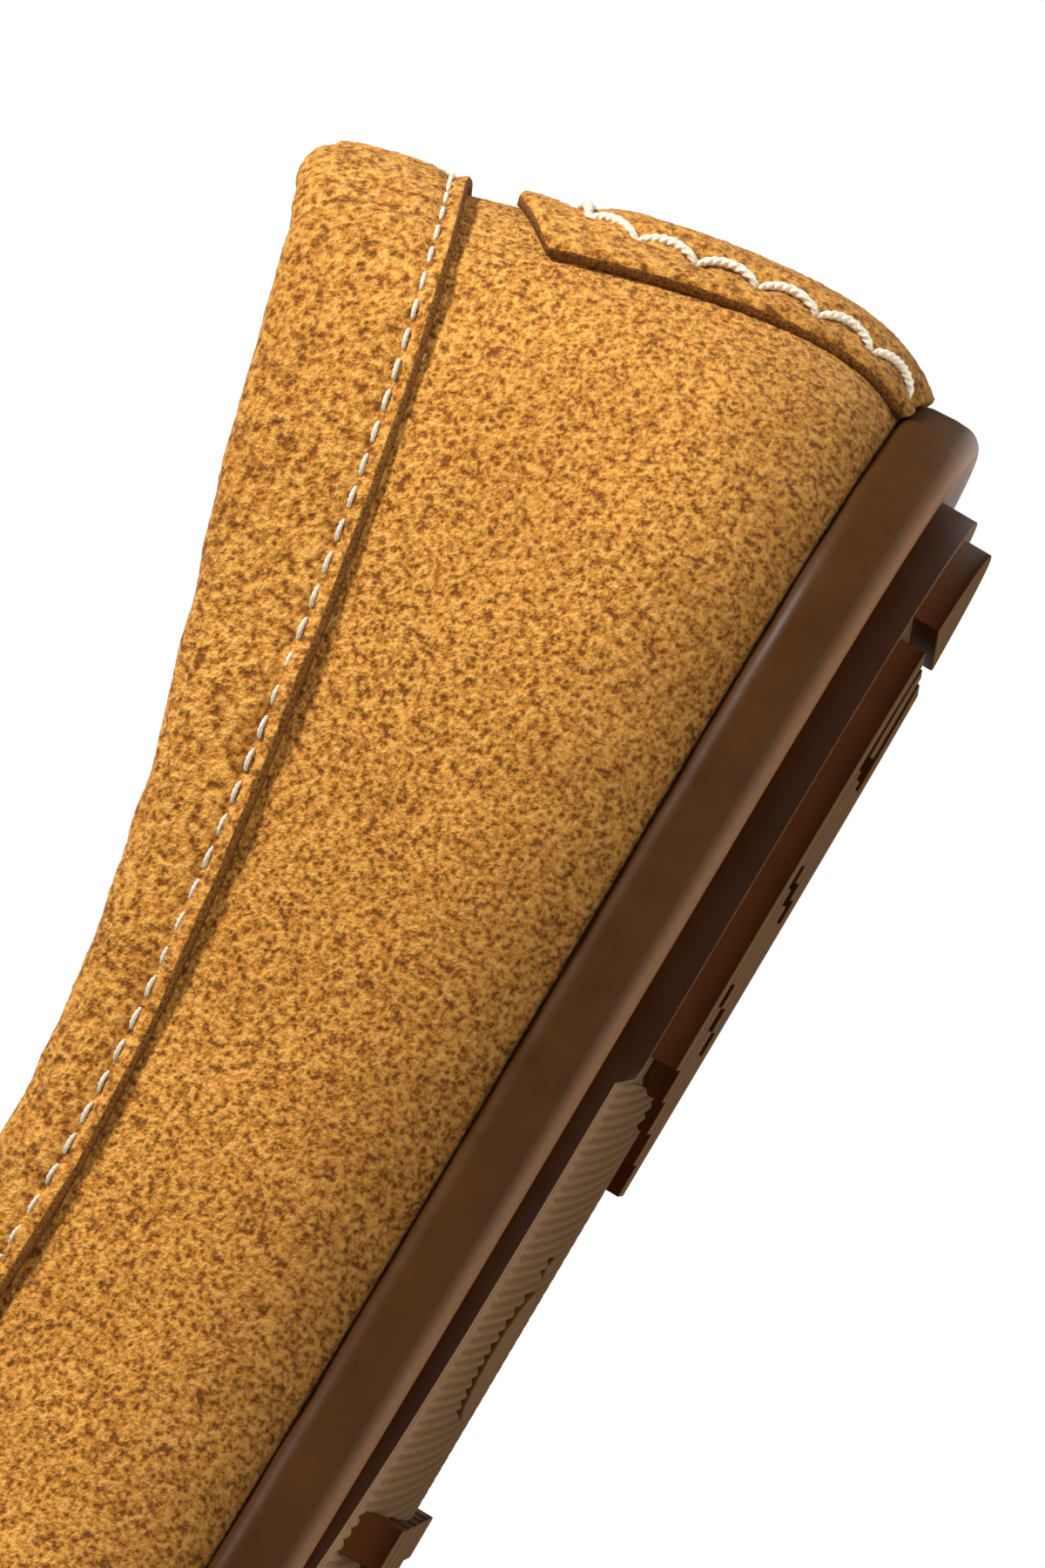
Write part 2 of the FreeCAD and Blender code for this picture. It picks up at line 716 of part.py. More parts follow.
def side_seam_stitching():
    """Two rows of fine stitches behind each seam between vamp and quarter."""
    face = FINE_THREAD / 2 + STITCH_CLEARANCE
    groups = []
    for throat, side in ((OUTER_THROAT, -1), (INNER_THROAT, 1)):
        for gap in SIDE_SEAM_ROWS:
            t = throat + side * gap

            def path(share, t=t):
                return wrap_offset(t, 0.06 + share * (band_low(t) - 0.1), face)

            groups.append(stitches_along(path, FINE_PITCH, FINE_STITCH, FINE_THREAD))
    return Part.makeCompound([bar for group in groups for bar in group.Solids])


PIECES = {
    "outsole": outsole,
    "midsole": midsole,
    "bottom_filler": lambda: inside_layer(MARGIN + 0.4, 0.0, MARGIN_TOP - 0.1),
    "insole_board": lambda: inside_layer(BOARD_INSET, MARGIN_TOP, BOARD_TOP),
    "heel_cushion": heel_cushion,
    "footbed": footbed,
    "sock_lining": lambda: inside_layer(SOCK_INSET, FOOTBED_TOP, SOCK_TOP),
    "vamp": vamp,
    "plug": plug,
    "quarter_lateral": lambda: quarter(0.0, OUTER_THROAT),
    "quarter_medial": lambda: quarter(INNER_THROAT, float(COUNT)),
    "heel_tab": heel_tab,
    "collar_band": collar_band,
    "collar_padding": collar_padding,
    "tongue": tongue,
    "tongue_lining": tongue_lining,
    "quarter_lining": quarter_lining,
    "vamp_lining": vamp_lining,
    "heel_counter": heel_counter,
    "toe_puff": toe_puff,
    "collar_stitching": collar_stitching,
    "heel_tab_stitching": heel_tab_stitching,
    "plug_stitching": plug_stitching,
    "side_seam_stitching": side_seam_stitching,
}

os.makedirs("parts", exist_ok=True)
for name, make in PIECES.items():
    shape = make()
    shape.exportStep("parts/" + name + ".step")
    box = shape.BoundBox
    print(f"{name}: solids {len(shape.Solids)} valid {shape.isValid()} volume {shape.Volume:.0f} "
          f"x {box.XMin:.1f} {box.XMax:.1f} y {box.YMin:.1f} {box.YMax:.1f} z {box.ZMin:.1f} {box.ZMax:.1f}",
          flush=True)
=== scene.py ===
import math

import bmesh
import bpy
import numpy as np
from mathutils import Matrix, Vector


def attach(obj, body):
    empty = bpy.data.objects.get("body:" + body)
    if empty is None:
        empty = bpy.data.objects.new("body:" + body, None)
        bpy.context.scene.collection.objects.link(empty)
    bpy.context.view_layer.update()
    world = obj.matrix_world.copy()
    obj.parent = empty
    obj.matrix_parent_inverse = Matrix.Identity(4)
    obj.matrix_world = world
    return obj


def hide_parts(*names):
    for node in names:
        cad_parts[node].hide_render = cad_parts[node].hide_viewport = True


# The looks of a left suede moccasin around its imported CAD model.
# Shapes are worked out in millimetres in the CAD frame and written to Blender in metres.

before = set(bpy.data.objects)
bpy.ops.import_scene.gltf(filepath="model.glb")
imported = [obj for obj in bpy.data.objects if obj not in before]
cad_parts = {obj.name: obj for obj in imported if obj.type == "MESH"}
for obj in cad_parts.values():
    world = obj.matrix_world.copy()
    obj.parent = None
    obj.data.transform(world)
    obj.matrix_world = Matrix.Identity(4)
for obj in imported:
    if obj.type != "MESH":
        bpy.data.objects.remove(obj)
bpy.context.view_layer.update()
MM = 0.001

# ---- Driving dimensions, the same as the CAD model's ----

LUG_DEPTH = 2.8
TREAD_TOP = 6.0
SOLE_TOP = 13.5
TOE_SPRING = 6.5
SPRING_START = -45.0
SPRING_LENGTH = 80.0
BAND_OUT = 1.5
BAND_TOP_RADIUS = 2.2
BAND_LOW_RADIUS = 2.3
TREAD_OUT = -5.7
LUG_OUT = -7.7
LUG_RING_WIDTH = 8.0
LUG_ROUNDING = 0.7
BASE_ROUNDING = 0.35
TREAD_REAR = 110.3
HEEL_CRESCENT = 8.5
HEEL_PLATE_START = 11.0
SLOT_SLANT = math.tan(math.radians(5.0))
SLOT_PIVOT_X = 22.0
HEEL_BREAST = (57.0, 60.5, 64.0, 67.5, 71.0)
FOREFOOT_START = 107.0
STARTER_LENGTH = 4.6
FOREFOOT_END = 226.0
GROOVE = 2.4
INNER_COLUMNS = (10.6, 0.0, -10.6)
INNER_BLOCK_WIDTH = 8.2
HEEL_BLOCK_ROWS = 4
FOREFOOT_BLOCK_ROWS = 9
PLATE_ROWS = 6
PLATE_POINTS = 24
RIM_POINTS = 40
SMALLEST_BLOCK = 2.0
ARCH_END = 116.0
ARCH_BOTTOM = 1.5
ARCH_EDGE = 4.8
ARCH_HALF_WIDTH = 27.0
ROPE_PITCH = 1.25
ROPE_LEAN = math.radians(10)
STRAND_LENGTH = 0.85
ROPE_INSET = 0.8
BOSS_X = 10.0
BOSS_REACH = 89.0
BOSS_LENGTH = 14.0
BOSS_WIDTH = 9.0
NUB_REACH = 79.5
NUB_RADIUS = 1.2

MARGIN = 10.0
MARGIN_TURN = -0.06
WALL_START = 0.012
SOLE_GAP = 0.2
SUEDE = 1.4
SLACK_DEPTH = 0.25
SLACK_SIZE = 45.0
FOOT_BLEND = 0.06
COLLAR_RADIUS = 3.1
COLLAR_LEATHER = 1.25
COLLAR_MIDDLE = -1.7
COLLAR_STITCH_FACE = COLLAR_MIDDLE + COLLAR_RADIUS - 0.3
COLLAR_INSIDE_DEPTH = 14.0
COLLAR_PUFF = 0.55
SEAM_DENT = 0.3
HOLE_DENT = 0.35
SEAM_DENT_WIDTH = 0.8
QUARTER_UNDERLAP = 4.0
TAB_FACE = 1.7
TAB_GAP = 0.1
TAB_TALL = 41.5
TAB_HALF_TOP = 14.5
TAB_HALF_FOOT = 10.0
TAB_TOP_HEIGHT = 56.0
TAB_CORNER_DROP = 6.0
TAB_INSET = 3.8
TAB_PUFF = 0.9
TAB_PUFF_WIDTH = 5.0
TAB_DENT = 0.35
TAB_HOLE_DENT = 0.75
TAB_EDGE_RADIUS = 0.6
TAB_FOOT = 0.015
TAB_STITCH_FOOT = 0.03
TAB_STITCH_TOP = 0.9
TAB_PLACES_PER_MM = 0.064
PLUG_CROWN = 5.5
PLUG_GAP = 0.35
PLUG_FRONT_LENGTH = 80.0
PLUG_RIDGE = 1.9
PLUG_VALLEY = 0.7
PLUG_VALLEY_PLACE = 3.2
TONGUE_RISE = 11.0
TONGUE_LENGTH = 22.0
TONGUE_TUCK = 12.0
TONGUE_THICKNESS = 1.6
TONGUE_LINING = 0.7
LAYER_GAP = 0.05
TONGUE_HALF_WIDTH = 17.0
TONGUE_DROP = 2.2
TUCK_SLOPE = 0.24
FINE_THREAD = 0.45
FINE_PITCH = 3.3
FINE_STITCH = 2.2
FINE_TWIST = 2.0
HEAVY_THREAD = 0.9
HEAVY_PITCH = 6.3
HEAVY_STITCH = HEAVY_PITCH - 0.3
THREAD_TWIST = 1.3
SEAM_STITCHES = 34
SEAM_CLEAR = 0.15
SEAM_RIDGE = 1.7
PUCKER_DEPTH = 0.55
PUCKER_REACH = 0.3
COLLAR_STITCH_RISE = 1.8
SIDE_SEAM_ROWS = (0.06, 0.13)

# Stations round the shoe: featherline x and y; top edge x, y and z; how far the wall leaves the
# featherline outwards; how far outside and below the edge it arrives; width of the collar band.
STATIONS = (
    (0.0, 118.5, 0.0, 110.8, 76.2, 9.5, 7.0, 26.0, 15.6),
    (15.5, 114.0, 12.3, 106.6, 74.0, 9.5, 7.0, 25.0, 15.8),
    (26.0, 102.5, 19.4, 96.0, 70.4, 9.0, 6.5, 23.0, 16.0),
    (30.5, 86.0, 22.6, 81.5, 66.4, 8.5, 6.5, 21.0, 15.6),
    (32.0, 62.0, 24.0, 60.0, 59.7, 8.0, 6.5, 18.0, 12.6),
    (32.0, 36.0, 24.5, 38.0, 54.4, 7.5, 6.5, 16.0, 10.2),
    (33.5, 10.0, 25.0, 16.0, 52.2, 7.0, 7.0, 14.0, 9.3),
    (38.0, -14.0, 24.5, -4.0, 53.4, 6.5, 8.0, 13.0, 9.0),
    (43.0, -38.0, 21.5, -20.0, 57.0, 6.0, 10.0, 10.0, 9.0),
    (45.5, -60.0, 21.8, -44.0, 54.0, 6.0, 12.0, 6.0, 9.0),
    (43.0, -84.0, 20.5, -68.0, 49.0, 6.5, 12.0, 4.0, 9.0),
    (34.0, -105.0, 16.5, -86.0, 45.5, 6.5, 11.0, 3.0, 9.0),
    (17.5, -118.5, 8.0, -97.5, 43.0, 6.5, 10.0, 3.0, 9.0),
    (-3.0, -122.0, -3.0, -101.0, 42.5, 6.5, 10.0, 3.0, 9.0),
    (-22.0, -116.0, -14.0, -96.5, 43.2, 6.5, 10.0, 3.0, 9.0),
    (-36.0, -101.0, -21.5, -84.0, 45.5, 6.5, 11.0, 3.0, 9.0),
    (-42.0, -79.0, -24.0, -65.0, 49.0, 6.5, 12.0, 4.0, 9.0),
    (-42.0, -55.0, -23.5, -42.0, 54.5, 6.0, 12.0, 6.0, 9.0),
    (-37.5, -32.0, -21.5, -20.0, 57.5, 6.0, 10.0, 10.0, 9.0),
    (-31.5, -9.0, -24.0, -3.0, 54.5, 6.5, 8.0, 13.0, 9.0),
    (-28.5, 14.0, -24.0, 16.0, 53.6, 7.0, 7.0, 14.0, 9.3),
    (-28.5, 38.0, -23.5, 38.0, 55.6, 7.5, 6.5, 16.0, 10.2),
    (-30.0, 62.0, -23.5, 60.0, 60.8, 8.0, 6.5, 18.0, 12.6),
    (-29.5, 86.0, -22.0, 81.5, 68.6, 8.5, 6.5, 21.0, 15.6),
    (-25.0, 102.5, -18.7, 96.0, 73.0, 9.0, 6.5, 23.0, 16.0),
    (-15.0, 114.0, -12.0, 106.6, 75.2, 9.5, 7.0, 25.0, 15.8),
)
COUNT = len(STATIONS)
ORIGIN_X = -1.36
ORIGIN_Y = -0.49
OUTER_THROAT = 8.0
INNER_THROAT = 18.0
TOE = 13.0
FOOT_RISE = 8.5


# ---- The last: where every layer of the upper lies ----

def weights(u):
    """Cubic B-spline weights of the four poles round a span, at 0 to 1 along it."""
    return ((1 - u) ** 3 / 6, (3 * u ** 3 - 6 * u ** 2 + 4) / 6,
            (-3 * u ** 3 + 3 * u ** 2 + 3 * u + 1) / 6, u ** 3 / 6)


def fit_poles(rows):
    """Poles of the closed uniform cubic spline that passes through the rows."""
    count = len(rows)
    share = np.zeros((count, count))
    for index in range(count):
        share[index, index] = 4 / 6
        share[index, index - 1] = 1 / 6
        share[index, (index + 1) % count] = 1 / 6
    return np.linalg.solve(share, np.array(rows))


POLES = fit_poles(STATIONS)
POLES[:, (0, 2)] += ORIGIN_X
POLES[:, (1, 3)] += ORIGIN_Y


def station(t):
    """All the station values at places t round the shoe."""
    t = np.asarray(t, float)
    start = np.floor(t).astype(int)
    total = 0
    for step, share in zip((-1, 0, 1, 2), weights(t - start)):
        total = total + share[..., None] * POLES[(start + step) % COUNT]
    return total


def lift(y):
    """Toe spring: how far the sole rises above its flat part."""
    return TOE_SPRING * (np.maximum(0.0, SPRING_START - y) / SPRING_LENGTH) ** 2


def unit(vectors):
    return vectors / np.linalg.norm(vectors, axis=-1, keepdims=True)


def point(x, y, z):
    x, y, z = np.broadcast_arrays(x, y, z)
    return np.stack((x, y, z), axis=-1).astype(float)


def outward(t):
    """Plan direction square to the featherline."""
    run = station(t + 0.02) - station(t - 0.02)
    return unit(point(-run[..., 1], run[..., 0], 0.0))


def wrap(t, w):
    """Outer face of the upper: w is -1 to 0 under the foot and 0 to 1 up to the top edge."""
    t, w = np.broadcast_arrays(np.asarray(t, float), np.asarray(w, float))
    row = station(t)
    out = outward(t)
    foot = point(row[..., 0], row[..., 1], SOLE_TOP + SOLE_GAP + lift(row[..., 1]))
    edge = row[..., 2:5]
    low = foot + out * row[..., 5:6] + np.array((0, 0, FOOT_RISE))
    high = edge + out * row[..., 6:7] - point(0, 0, row[..., 7])
    w = w[..., None]
    up = np.maximum(w, 0)
    v = 1 - up
    wall = foot * v ** 3 + low * (3 * v * v * up) + high * (3 * v * up * up) + edge * up ** 3
    return np.where(w < 0, foot + out * (MARGIN * w), wall)


def wrap_normal(t, w):
    """Outward unit normal of the upper."""
    w = np.asarray(w, float)
    along = wrap(t + 0.03, w) - wrap(t - 0.03, w)
    up = wrap(t, np.minimum(w + 0.02, 1)) - wrap(t, w - 0.02)
    return unit(np.cross(up, along))


def wrap_offset(t, w, offset):
    return wrap(t, w) + wrap_normal(t, w) * np.asarray(offset, float)[..., None]


def w_at_height(t, z):
    """Where the upper's outer face reaches height z."""
    t = np.asarray(t, float)
    low = np.zeros_like(t)
    high = np.ones_like(t)
    for _ in range(24):
        middle = (low + high) / 2
        under = wrap(t, middle)[..., 2] < z
        low = np.where(under, middle, low)
        high = np.where(under, high, middle)
    return (low + high) / 2


def edge_height(t):
    return station(t)[..., 4]


def roll_start(t):
    """Where the collar's outer leg ends and its rolled top begins."""
    return w_at_height(t, edge_height(t) - COLLAR_RADIUS)


def band_low(t, rise=0.0):
    """Lower edge of the collar band, or a line a little above it."""
    return w_at_height(t, edge_height(t) - station(t)[..., 8] + rise)


def outline(t, offset, z=0.0):
    """Plan points at an offset from the featherline."""
    row = station(t)
    offset = np.asarray(offset, float)
    plan = row[..., :2] + outward(t)[..., :2] * offset[..., None]
    return point(plan[..., 0], plan[..., 1], z)


def smooth(x):
    """Smooth step from 0 to 1."""
    x = np.clip(x, 0, 1)
    return x * x * (3 - 2 * x)


def ripple(points, size, seed, waves=14):
    """Smooth, even, repeatable unevenness of about -1 to 1 with features of one size."""
    draw = np.random.default_rng(seed)
    direction = unit(draw.normal(size=(waves, 3)))
    rate = 2 * math.pi / size * draw.uniform(0.6, 1.5, waves)
    phase = draw.uniform(0, 2 * math.pi, waves)
    total = np.zeros(points.shape[:-1])
    for k in range(waves):
        total += np.sin(points @ (direction[k] * rate[k]) + phase[k])
    return total / math.sqrt(waves / 2) / 1.6


# Depth, size, seed and number of waves of each kind of relief.
NAP_RELIEF = ((0.05, 1.3, 3, 20), (0.035, 0.75, 4, 20), (0.12, 11.0, 5))


def nap(points, amount=1.0):
    """Small real relief of napped suede: pebbles of about 1 mm and tufts of about half that."""
    return amount * sum(depth * ripple(points, *kind) for depth, *kind in NAP_RELIEF)


def drawn_nap(points):
    """Nap with the slow unevenness of leather drawn over a last."""
    return nap(points) + SLACK_DEPTH * ripple(points, SLACK_SIZE, 8)


# ---- Meshes ----

def grid_faces(rows, columns, start=0, close_rows=False, close_columns=False):
    """Quads of a grid of vertices that are numbered along the columns first."""
    row = np.arange(rows if close_rows else rows - 1)
    column = np.arange(columns if close_columns else columns - 1)
    i, j = np.meshgrid(row, column, indexing="ij")
    after_i = (i + 1) % rows
    after_j = (j + 1) % columns
    quads = (i * columns + j, after_i * columns + j, after_i * columns + after_j, i * columns + after_j)
    return start + np.stack([corner.ravel() for corner in quads], axis=1)


def make_piece(name, points, faces, material, replaced):
    """Object from points in millimetres, riding on the shoe."""
    mesh = bpy.data.meshes.new(name)
    mesh.from_pydata((np.asarray(points) * MM).tolist(), [], [tuple(face) for face in faces])
    work = bmesh.new()
    work.from_mesh(mesh)
    bmesh.ops.recalc_face_normals(work, faces=work.faces)
    work.to_mesh(mesh)
    work.free()
    mesh.materials.append(material)
    mesh.polygons.foreach_set("use_smooth", [True] * len(mesh.polygons))
    piece = bpy.data.objects.new(name, mesh)
    bpy.context.scene.collection.objects.link(piece)
    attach(piece, "root")
    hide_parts(*replaced)
    return piece


def strip_faces(rows, columns):
    """Faces of a strip whose closed cross-sections are the rows, with both ends capped."""
    faces = grid_faces(rows, columns, close_columns=True).tolist()
    faces.append(list(range(columns))[::-1])
    last = (rows - 1) * columns
    faces.append(list(range(last, last + columns)))
    return faces


def pillow_faces(rows, columns):
    """Faces of two equal grids, front then back, joined round their rims."""
    front = grid_faces(rows, columns).tolist()
    back = grid_faces(rows, columns, start=rows * columns)[:, ::-1].tolist()
    rim = [j for j in range(columns)]
    rim += [i * columns + columns - 1 for i in range(1, rows)]
    rim += [(rows - 1) * columns + j for j in range(columns - 2, -1, -1)]
    rim += [i * columns for i in range(rows - 2, 0, -1)]
    side = []
    for here, after in zip(rim, rim[1:] + rim[:1]):
        side.append([after, here, here + rows * columns, after + rows * columns])
    return front + back + side


def pillow_piece(name, front, back, material, node):
    """Piece between two equal grids of points."""
    points = np.concatenate((front.reshape(-1, 3), back.reshape(-1, 3)))
    return make_piece(name, points, pillow_faces(*front.shape[:2]), material, (node,))


def joined(parts):
    """Points and faces of several parts as one set."""
    points = []
    faces = []
    total = 0
    for part_points, part_faces in parts:
        points.append(part_points)
        faces += [[total + corner for corner in face] for face in part_faces]
        total += len(part_points)
    return np.concatenate(points), faces


BEVEL_ANGLE = math.radians(35)


def bevelled(piece, width, segments=2):
    """Rounds a piece's sharp edges in its own mesh."""
    tool = piece.modifiers.new("bevel", "BEVEL")
    tool.width = width * MM
    tool.segments = segments
    tool.limit_method = "ANGLE"
    tool.angle_limit = BEVEL_ANGLE
    scene = bpy.context.evaluated_depsgraph_get()
    rounded = bpy.data.meshes.new_from_object(piece.evaluated_get(scene))
    piece.modifiers.remove(tool)
    piece.data = rounded
    for polygon in rounded.polygons:
        polygon.use_smooth = True
    rounded.set_sharp_from_angle(angle=BEVEL_ANGLE)


# ---- Materials ----

class Nodes:
    """Short hand for a procedural material."""

    def __init__(self, name):
        self.material = bpy.data.materials.new(name)
        self.material.use_nodes = True
        self.tree = self.material.node_tree
        self.shader = self.tree.nodes["Principled BSDF"]
        self.place = self.add("ShaderNodeTexCoord").outputs["Object"]

    def add(self, kind, **values):
        node = self.tree.nodes.new(kind)
        for key, value in values.items():
            setattr(node, key, value)
        return node

    def link(self, source, target):
        self.tree.links.new(source, target)

    def noise(self, size, detail=2.0, roughness=0.5):
        """Noise with features of a size in millimetres."""
        node = self.add("ShaderNodeTexNoise")
        node.inputs["Scale"].default_value = 1 / (size * MM)
        node.inputs["Detail"].default_value = detail
        node.inputs["Roughness"].default_value = roughness
        self.link(self.place, node.inputs["Vector"])
        return node.outputs["Fac"]

    def cells(self, size):
        """Distance to the middle of the nearest of scattered cells."""
        node = self.add("ShaderNodeTexVoronoi")
        node.inputs["Scale"].default_value = 1 / (size * MM)
        self.link(self.place, node.inputs["Vector"])
        return node.outputs["Distance"]

    def ramp(self, source, *stops):
        """Colour ramp: stops are (place, colour)."""
        node = self.add("ShaderNodeValToRGB")
        while len(node.color_ramp.elements) < len(stops):
            node.color_ramp.elements.new(0.5)
        for element, (place, colour) in zip(node.color_ramp.elements, stops):
            element.position = place
            element.color = (*colour, 1)
        self.link(source, node.inputs["Fac"])
        return node.outputs["Color"]

    def value(self, source, low, high, start=0.0, end=1.0):
        """Maps a factor on to a range of numbers."""
        node = self.add("ShaderNodeMapRange")
        node.inputs["From Min"].default_value = start
        node.inputs["From Max"].default_value = end
        node.inputs["To Min"].default_value = low
        node.inputs["To Max"].default_value = high
        self.link(source, node.inputs["Value"])
        return node.outputs["Result"]

    def maths(self, operation, first, second):
        node = self.add("ShaderNodeMath", operation=operation)
        for socket, source in zip(node.inputs, (first, second)):
            if isinstance(source, (int, float)):
                socket.default_value = source
            else:
                self.link(source, socket)
        return node.outputs[0]

    def mix(self, factor, first, second, blend="MIX"):
        node = self.add("ShaderNodeMix", data_type="RGBA", blend_type=blend)
        for socket, source in ((node.inputs[0], factor), (node.inputs[6], first), (node.inputs[7], second)):
            if isinstance(source, (int, float)):
                socket.default_value = source
            elif isinstance(source, tuple):
                socket.default_value = (*source, 1)
            else:
                self.link(source, socket)
        return node.outputs[2]

    def bump(self, height, depth, after=None):
        """Bump of a depth in millimetres."""
        node = self.add("ShaderNodeBump")
        node.inputs["Strength"].default_value = 1.0
        node.inputs["Distance"].default_value = depth * MM
        self.link(height, node.inputs["Height"])
        if after:
            self.link(after, node.inputs["Normal"])
        return node.outputs["Normal"]

    def finish(self, colour, roughness, normal=None, **uniform):
        self.link(colour, self.shader.inputs["Base Color"])
        if isinstance(roughness, (int, float)):
            self.shader.inputs["Roughness"].default_value = roughness
        else:
            self.link(roughness, self.shader.inputs["Roughness"])
        if normal:
            self.link(normal, self.shader.inputs["Normal"])
        for key, value in uniform.items():
            self.shader.inputs[key.replace("_", " ")].default_value = value
        return self.material


SUEDE_DARK = (0.2, 0.062, 0.007)
SUEDE_MID = (0.54, 0.22, 0.032)
SUEDE_LIGHT = (0.78, 0.39, 0.085)
# Painted shade near the sole: the heights in metres between which it fades out upwards, and the colour factor
# where it is darkest.
SHADED_EDGE = (0.012, 0.03)
SHADED_TONE = 0.42
SUEDE_SHEEN = (1.0, 0.72, 0.38, 1.0)


def suede_material(name, grain=0.55, pebble=0.9, depth=1.0):
    """Napped suede: tufts, pebbles, soft brushed patches, and painted shade that darkens its foot next to the
    sole.
    """
    n = Nodes(name)
    tufts = n.noise(grain, 3.0, 0.6)
    pebbles = n.noise(pebble, 1.0, 0.5)
    patches = n.noise(24.0, 2.0, 0.5)
    height = n.maths("ADD", n.maths("MULTIPLY", tufts, 0.65), n.maths("MULTIPLY", pebbles, 0.35))
    base = n.ramp(height, (0.39, SUEDE_DARK), (0.49, SUEDE_MID), (0.6, SUEDE_LIGHT))
    tone = n.ramp(patches, (0.3, (0.86, 0.82, 0.75)), (0.7, (1.05, 1.06, 1.08)))
    colour = n.mix(1.0, base, tone, "MULTIPLY")
    # Painted shade: the colour is darkened towards the sole, in place of the shade that falls near the
    # featherline.
    level = n.add("ShaderNodeSeparateXYZ")
    n.link(n.place, level.inputs[0])
    colour = n.mix(1.0, colour, n.value(level.outputs["Z"], SHADED_TONE, 1.0, *SHADED_EDGE), "MULTIPLY")
    normal = n.bump(height, depth)
    return n.finish(colour, n.value(tufts, 0.8, 1.0), normal, Sheen_Weight=0.16, Sheen_Roughness=0.5,
                    Sheen_Tint=SUEDE_SHEEN, Specular_IOR_Level=0.12)


def cut_edge_material(name):
    """Raw cut edge of the suede: darker, fibrous."""
    n = Nodes(name)
    fibres = n.noise(0.3, 3.0, 0.7)
    colour = n.ramp(fibres, (0.35, (0.07, 0.028, 0.006)), (0.6, (0.26, 0.11, 0.025)),
                    (0.75, (0.42, 0.2, 0.05)))
    return n.finish(colour, 0.95, n.bump(fibres, 0.2), Specular_IOR_Level=0.1)


# Colour of the gum's downward faces: part wear, part painted light bounced up from the floor.
GUM_WORN_AND_FLOOR_LIT = (0.46, 0.3, 0.165)


def gum_material(name, dark, light, worn_and_floor_lit, roughness):
    """Moulded gum rubber: slightly cloudy, satin, paler where it faces the ground, partly from wear and
    partly as painted light from the floor below.
    """
    n = Nodes(name)
    cloud = n.noise(9.0, 3.0, 0.6)
    dust = n.noise(0.5, 2.0, 0.6)
    split = n.add("ShaderNodeSeparateXYZ")
    n.link(n.add("ShaderNodeNewGeometry").outputs["Normal"], split.inputs[0])
    facing = n.value(split.outputs["Z"], 1.0, 0.0, -0.9, -0.2)
    base = n.ramp(cloud, (0.3, dark), (0.7, light))
    # Downward faces take the paler colour: part wear, part painted light from the floor below.
    colour = n.mix(n.maths("MULTIPLY", facing, n.value(dust, 0.6, 1.0)), base, worn_and_floor_lit)
    normal = n.bump(n.noise(0.35, 2.0), 0.012, n.bump(n.noise(5.0, 2.0), 0.12))
    return n.finish(colour, n.value(cloud, roughness - 0.06, roughness + 0.08), normal,
                    Subsurface_Weight=0.04, Subsurface_Radius=(0.9, 0.35, 0.1), Subsurface_Scale=0.002,
                    Specular_IOR_Level=0.1)


def thread_material(name, shade=1.0):
    """Waxed twisted thread."""
    n = Nodes(name)
    fibre = n.noise(0.25, 2.0, 0.6)
    light = tuple(shade * part for part in (0.87, 0.79, 0.62))
    colour = n.ramp(fibre, (0.3, tuple(0.66 * part for part in light)), (0.65, light))
    return n.finish(colour, 0.62, n.bump(fibre, 0.03), Sheen_Weight=0.15, Specular_IOR_Level=0.3)


WEAVE_DARK = (0.42, 0.28, 0.15)
WEAVE_LIGHT = (0.66, 0.5, 0.33)
WEAVE_SIZE = 0.7


def textile_material(name):
    """Fine woven lining."""
    n = Nodes(name)
    weave = []
    for rotation in (45, -45):
        mapping = n.add("ShaderNodeMapping")
        mapping.inputs["Rotation"].default_value = (0.3, math.radians(rotation), math.radians(rotation))
        n.link(n.place, mapping.inputs["Vector"])
        wave = n.add("ShaderNodeTexWave")
        wave.inputs["Scale"].default_value = 1 / (WEAVE_SIZE * MM) / 3
        wave.inputs["Distortion"].default_value = 0.6
        n.link(mapping.outputs["Vector"], wave.inputs["Vector"])
        weave.append(wave.outputs["Fac"])
    height = n.maths("MULTIPLY", *weave)
    colour = n.mix(n.value(n.noise(8.0, 3.0), 0.0, 0.35),
                   n.ramp(height, (0.0, WEAVE_DARK), (0.8, WEAVE_LIGHT)), WEAVE_DARK)
    return n.finish(colour, 0.9, n.bump(height, 0.15), Sheen_Weight=0.2, Specular_IOR_Level=0.15)


def leather_material(name, dark, light):
    """Smooth lining leather with pores and light wear."""
    n = Nodes(name)
    pores = n.cells(0.9)
    wear = n.noise(22.0, 4.0, 0.6)
    colour = n.ramp(wear, (0.3, dark), (0.7, light))
    normal = n.bump(pores, 0.08, n.bump(n.noise(6.0, 3.0), 0.25))
    return n.finish(colour, n.value(wear, 0.42, 0.6), normal, Specular_IOR_Level=0.35)


def foam_material(name, dark, light):
    """Open foam or pressed board."""
    n = Nodes(name)
    pores = n.cells(0.6)
    colour = n.ramp(n.maths("MULTIPLY", pores, n.noise(3.0, 3.0)), (0.0, dark), (0.35, light))
    return n.finish(colour, 0.92, n.bump(pores, 0.15), Specular_IOR_Level=0.15)


# ---- Upper ----

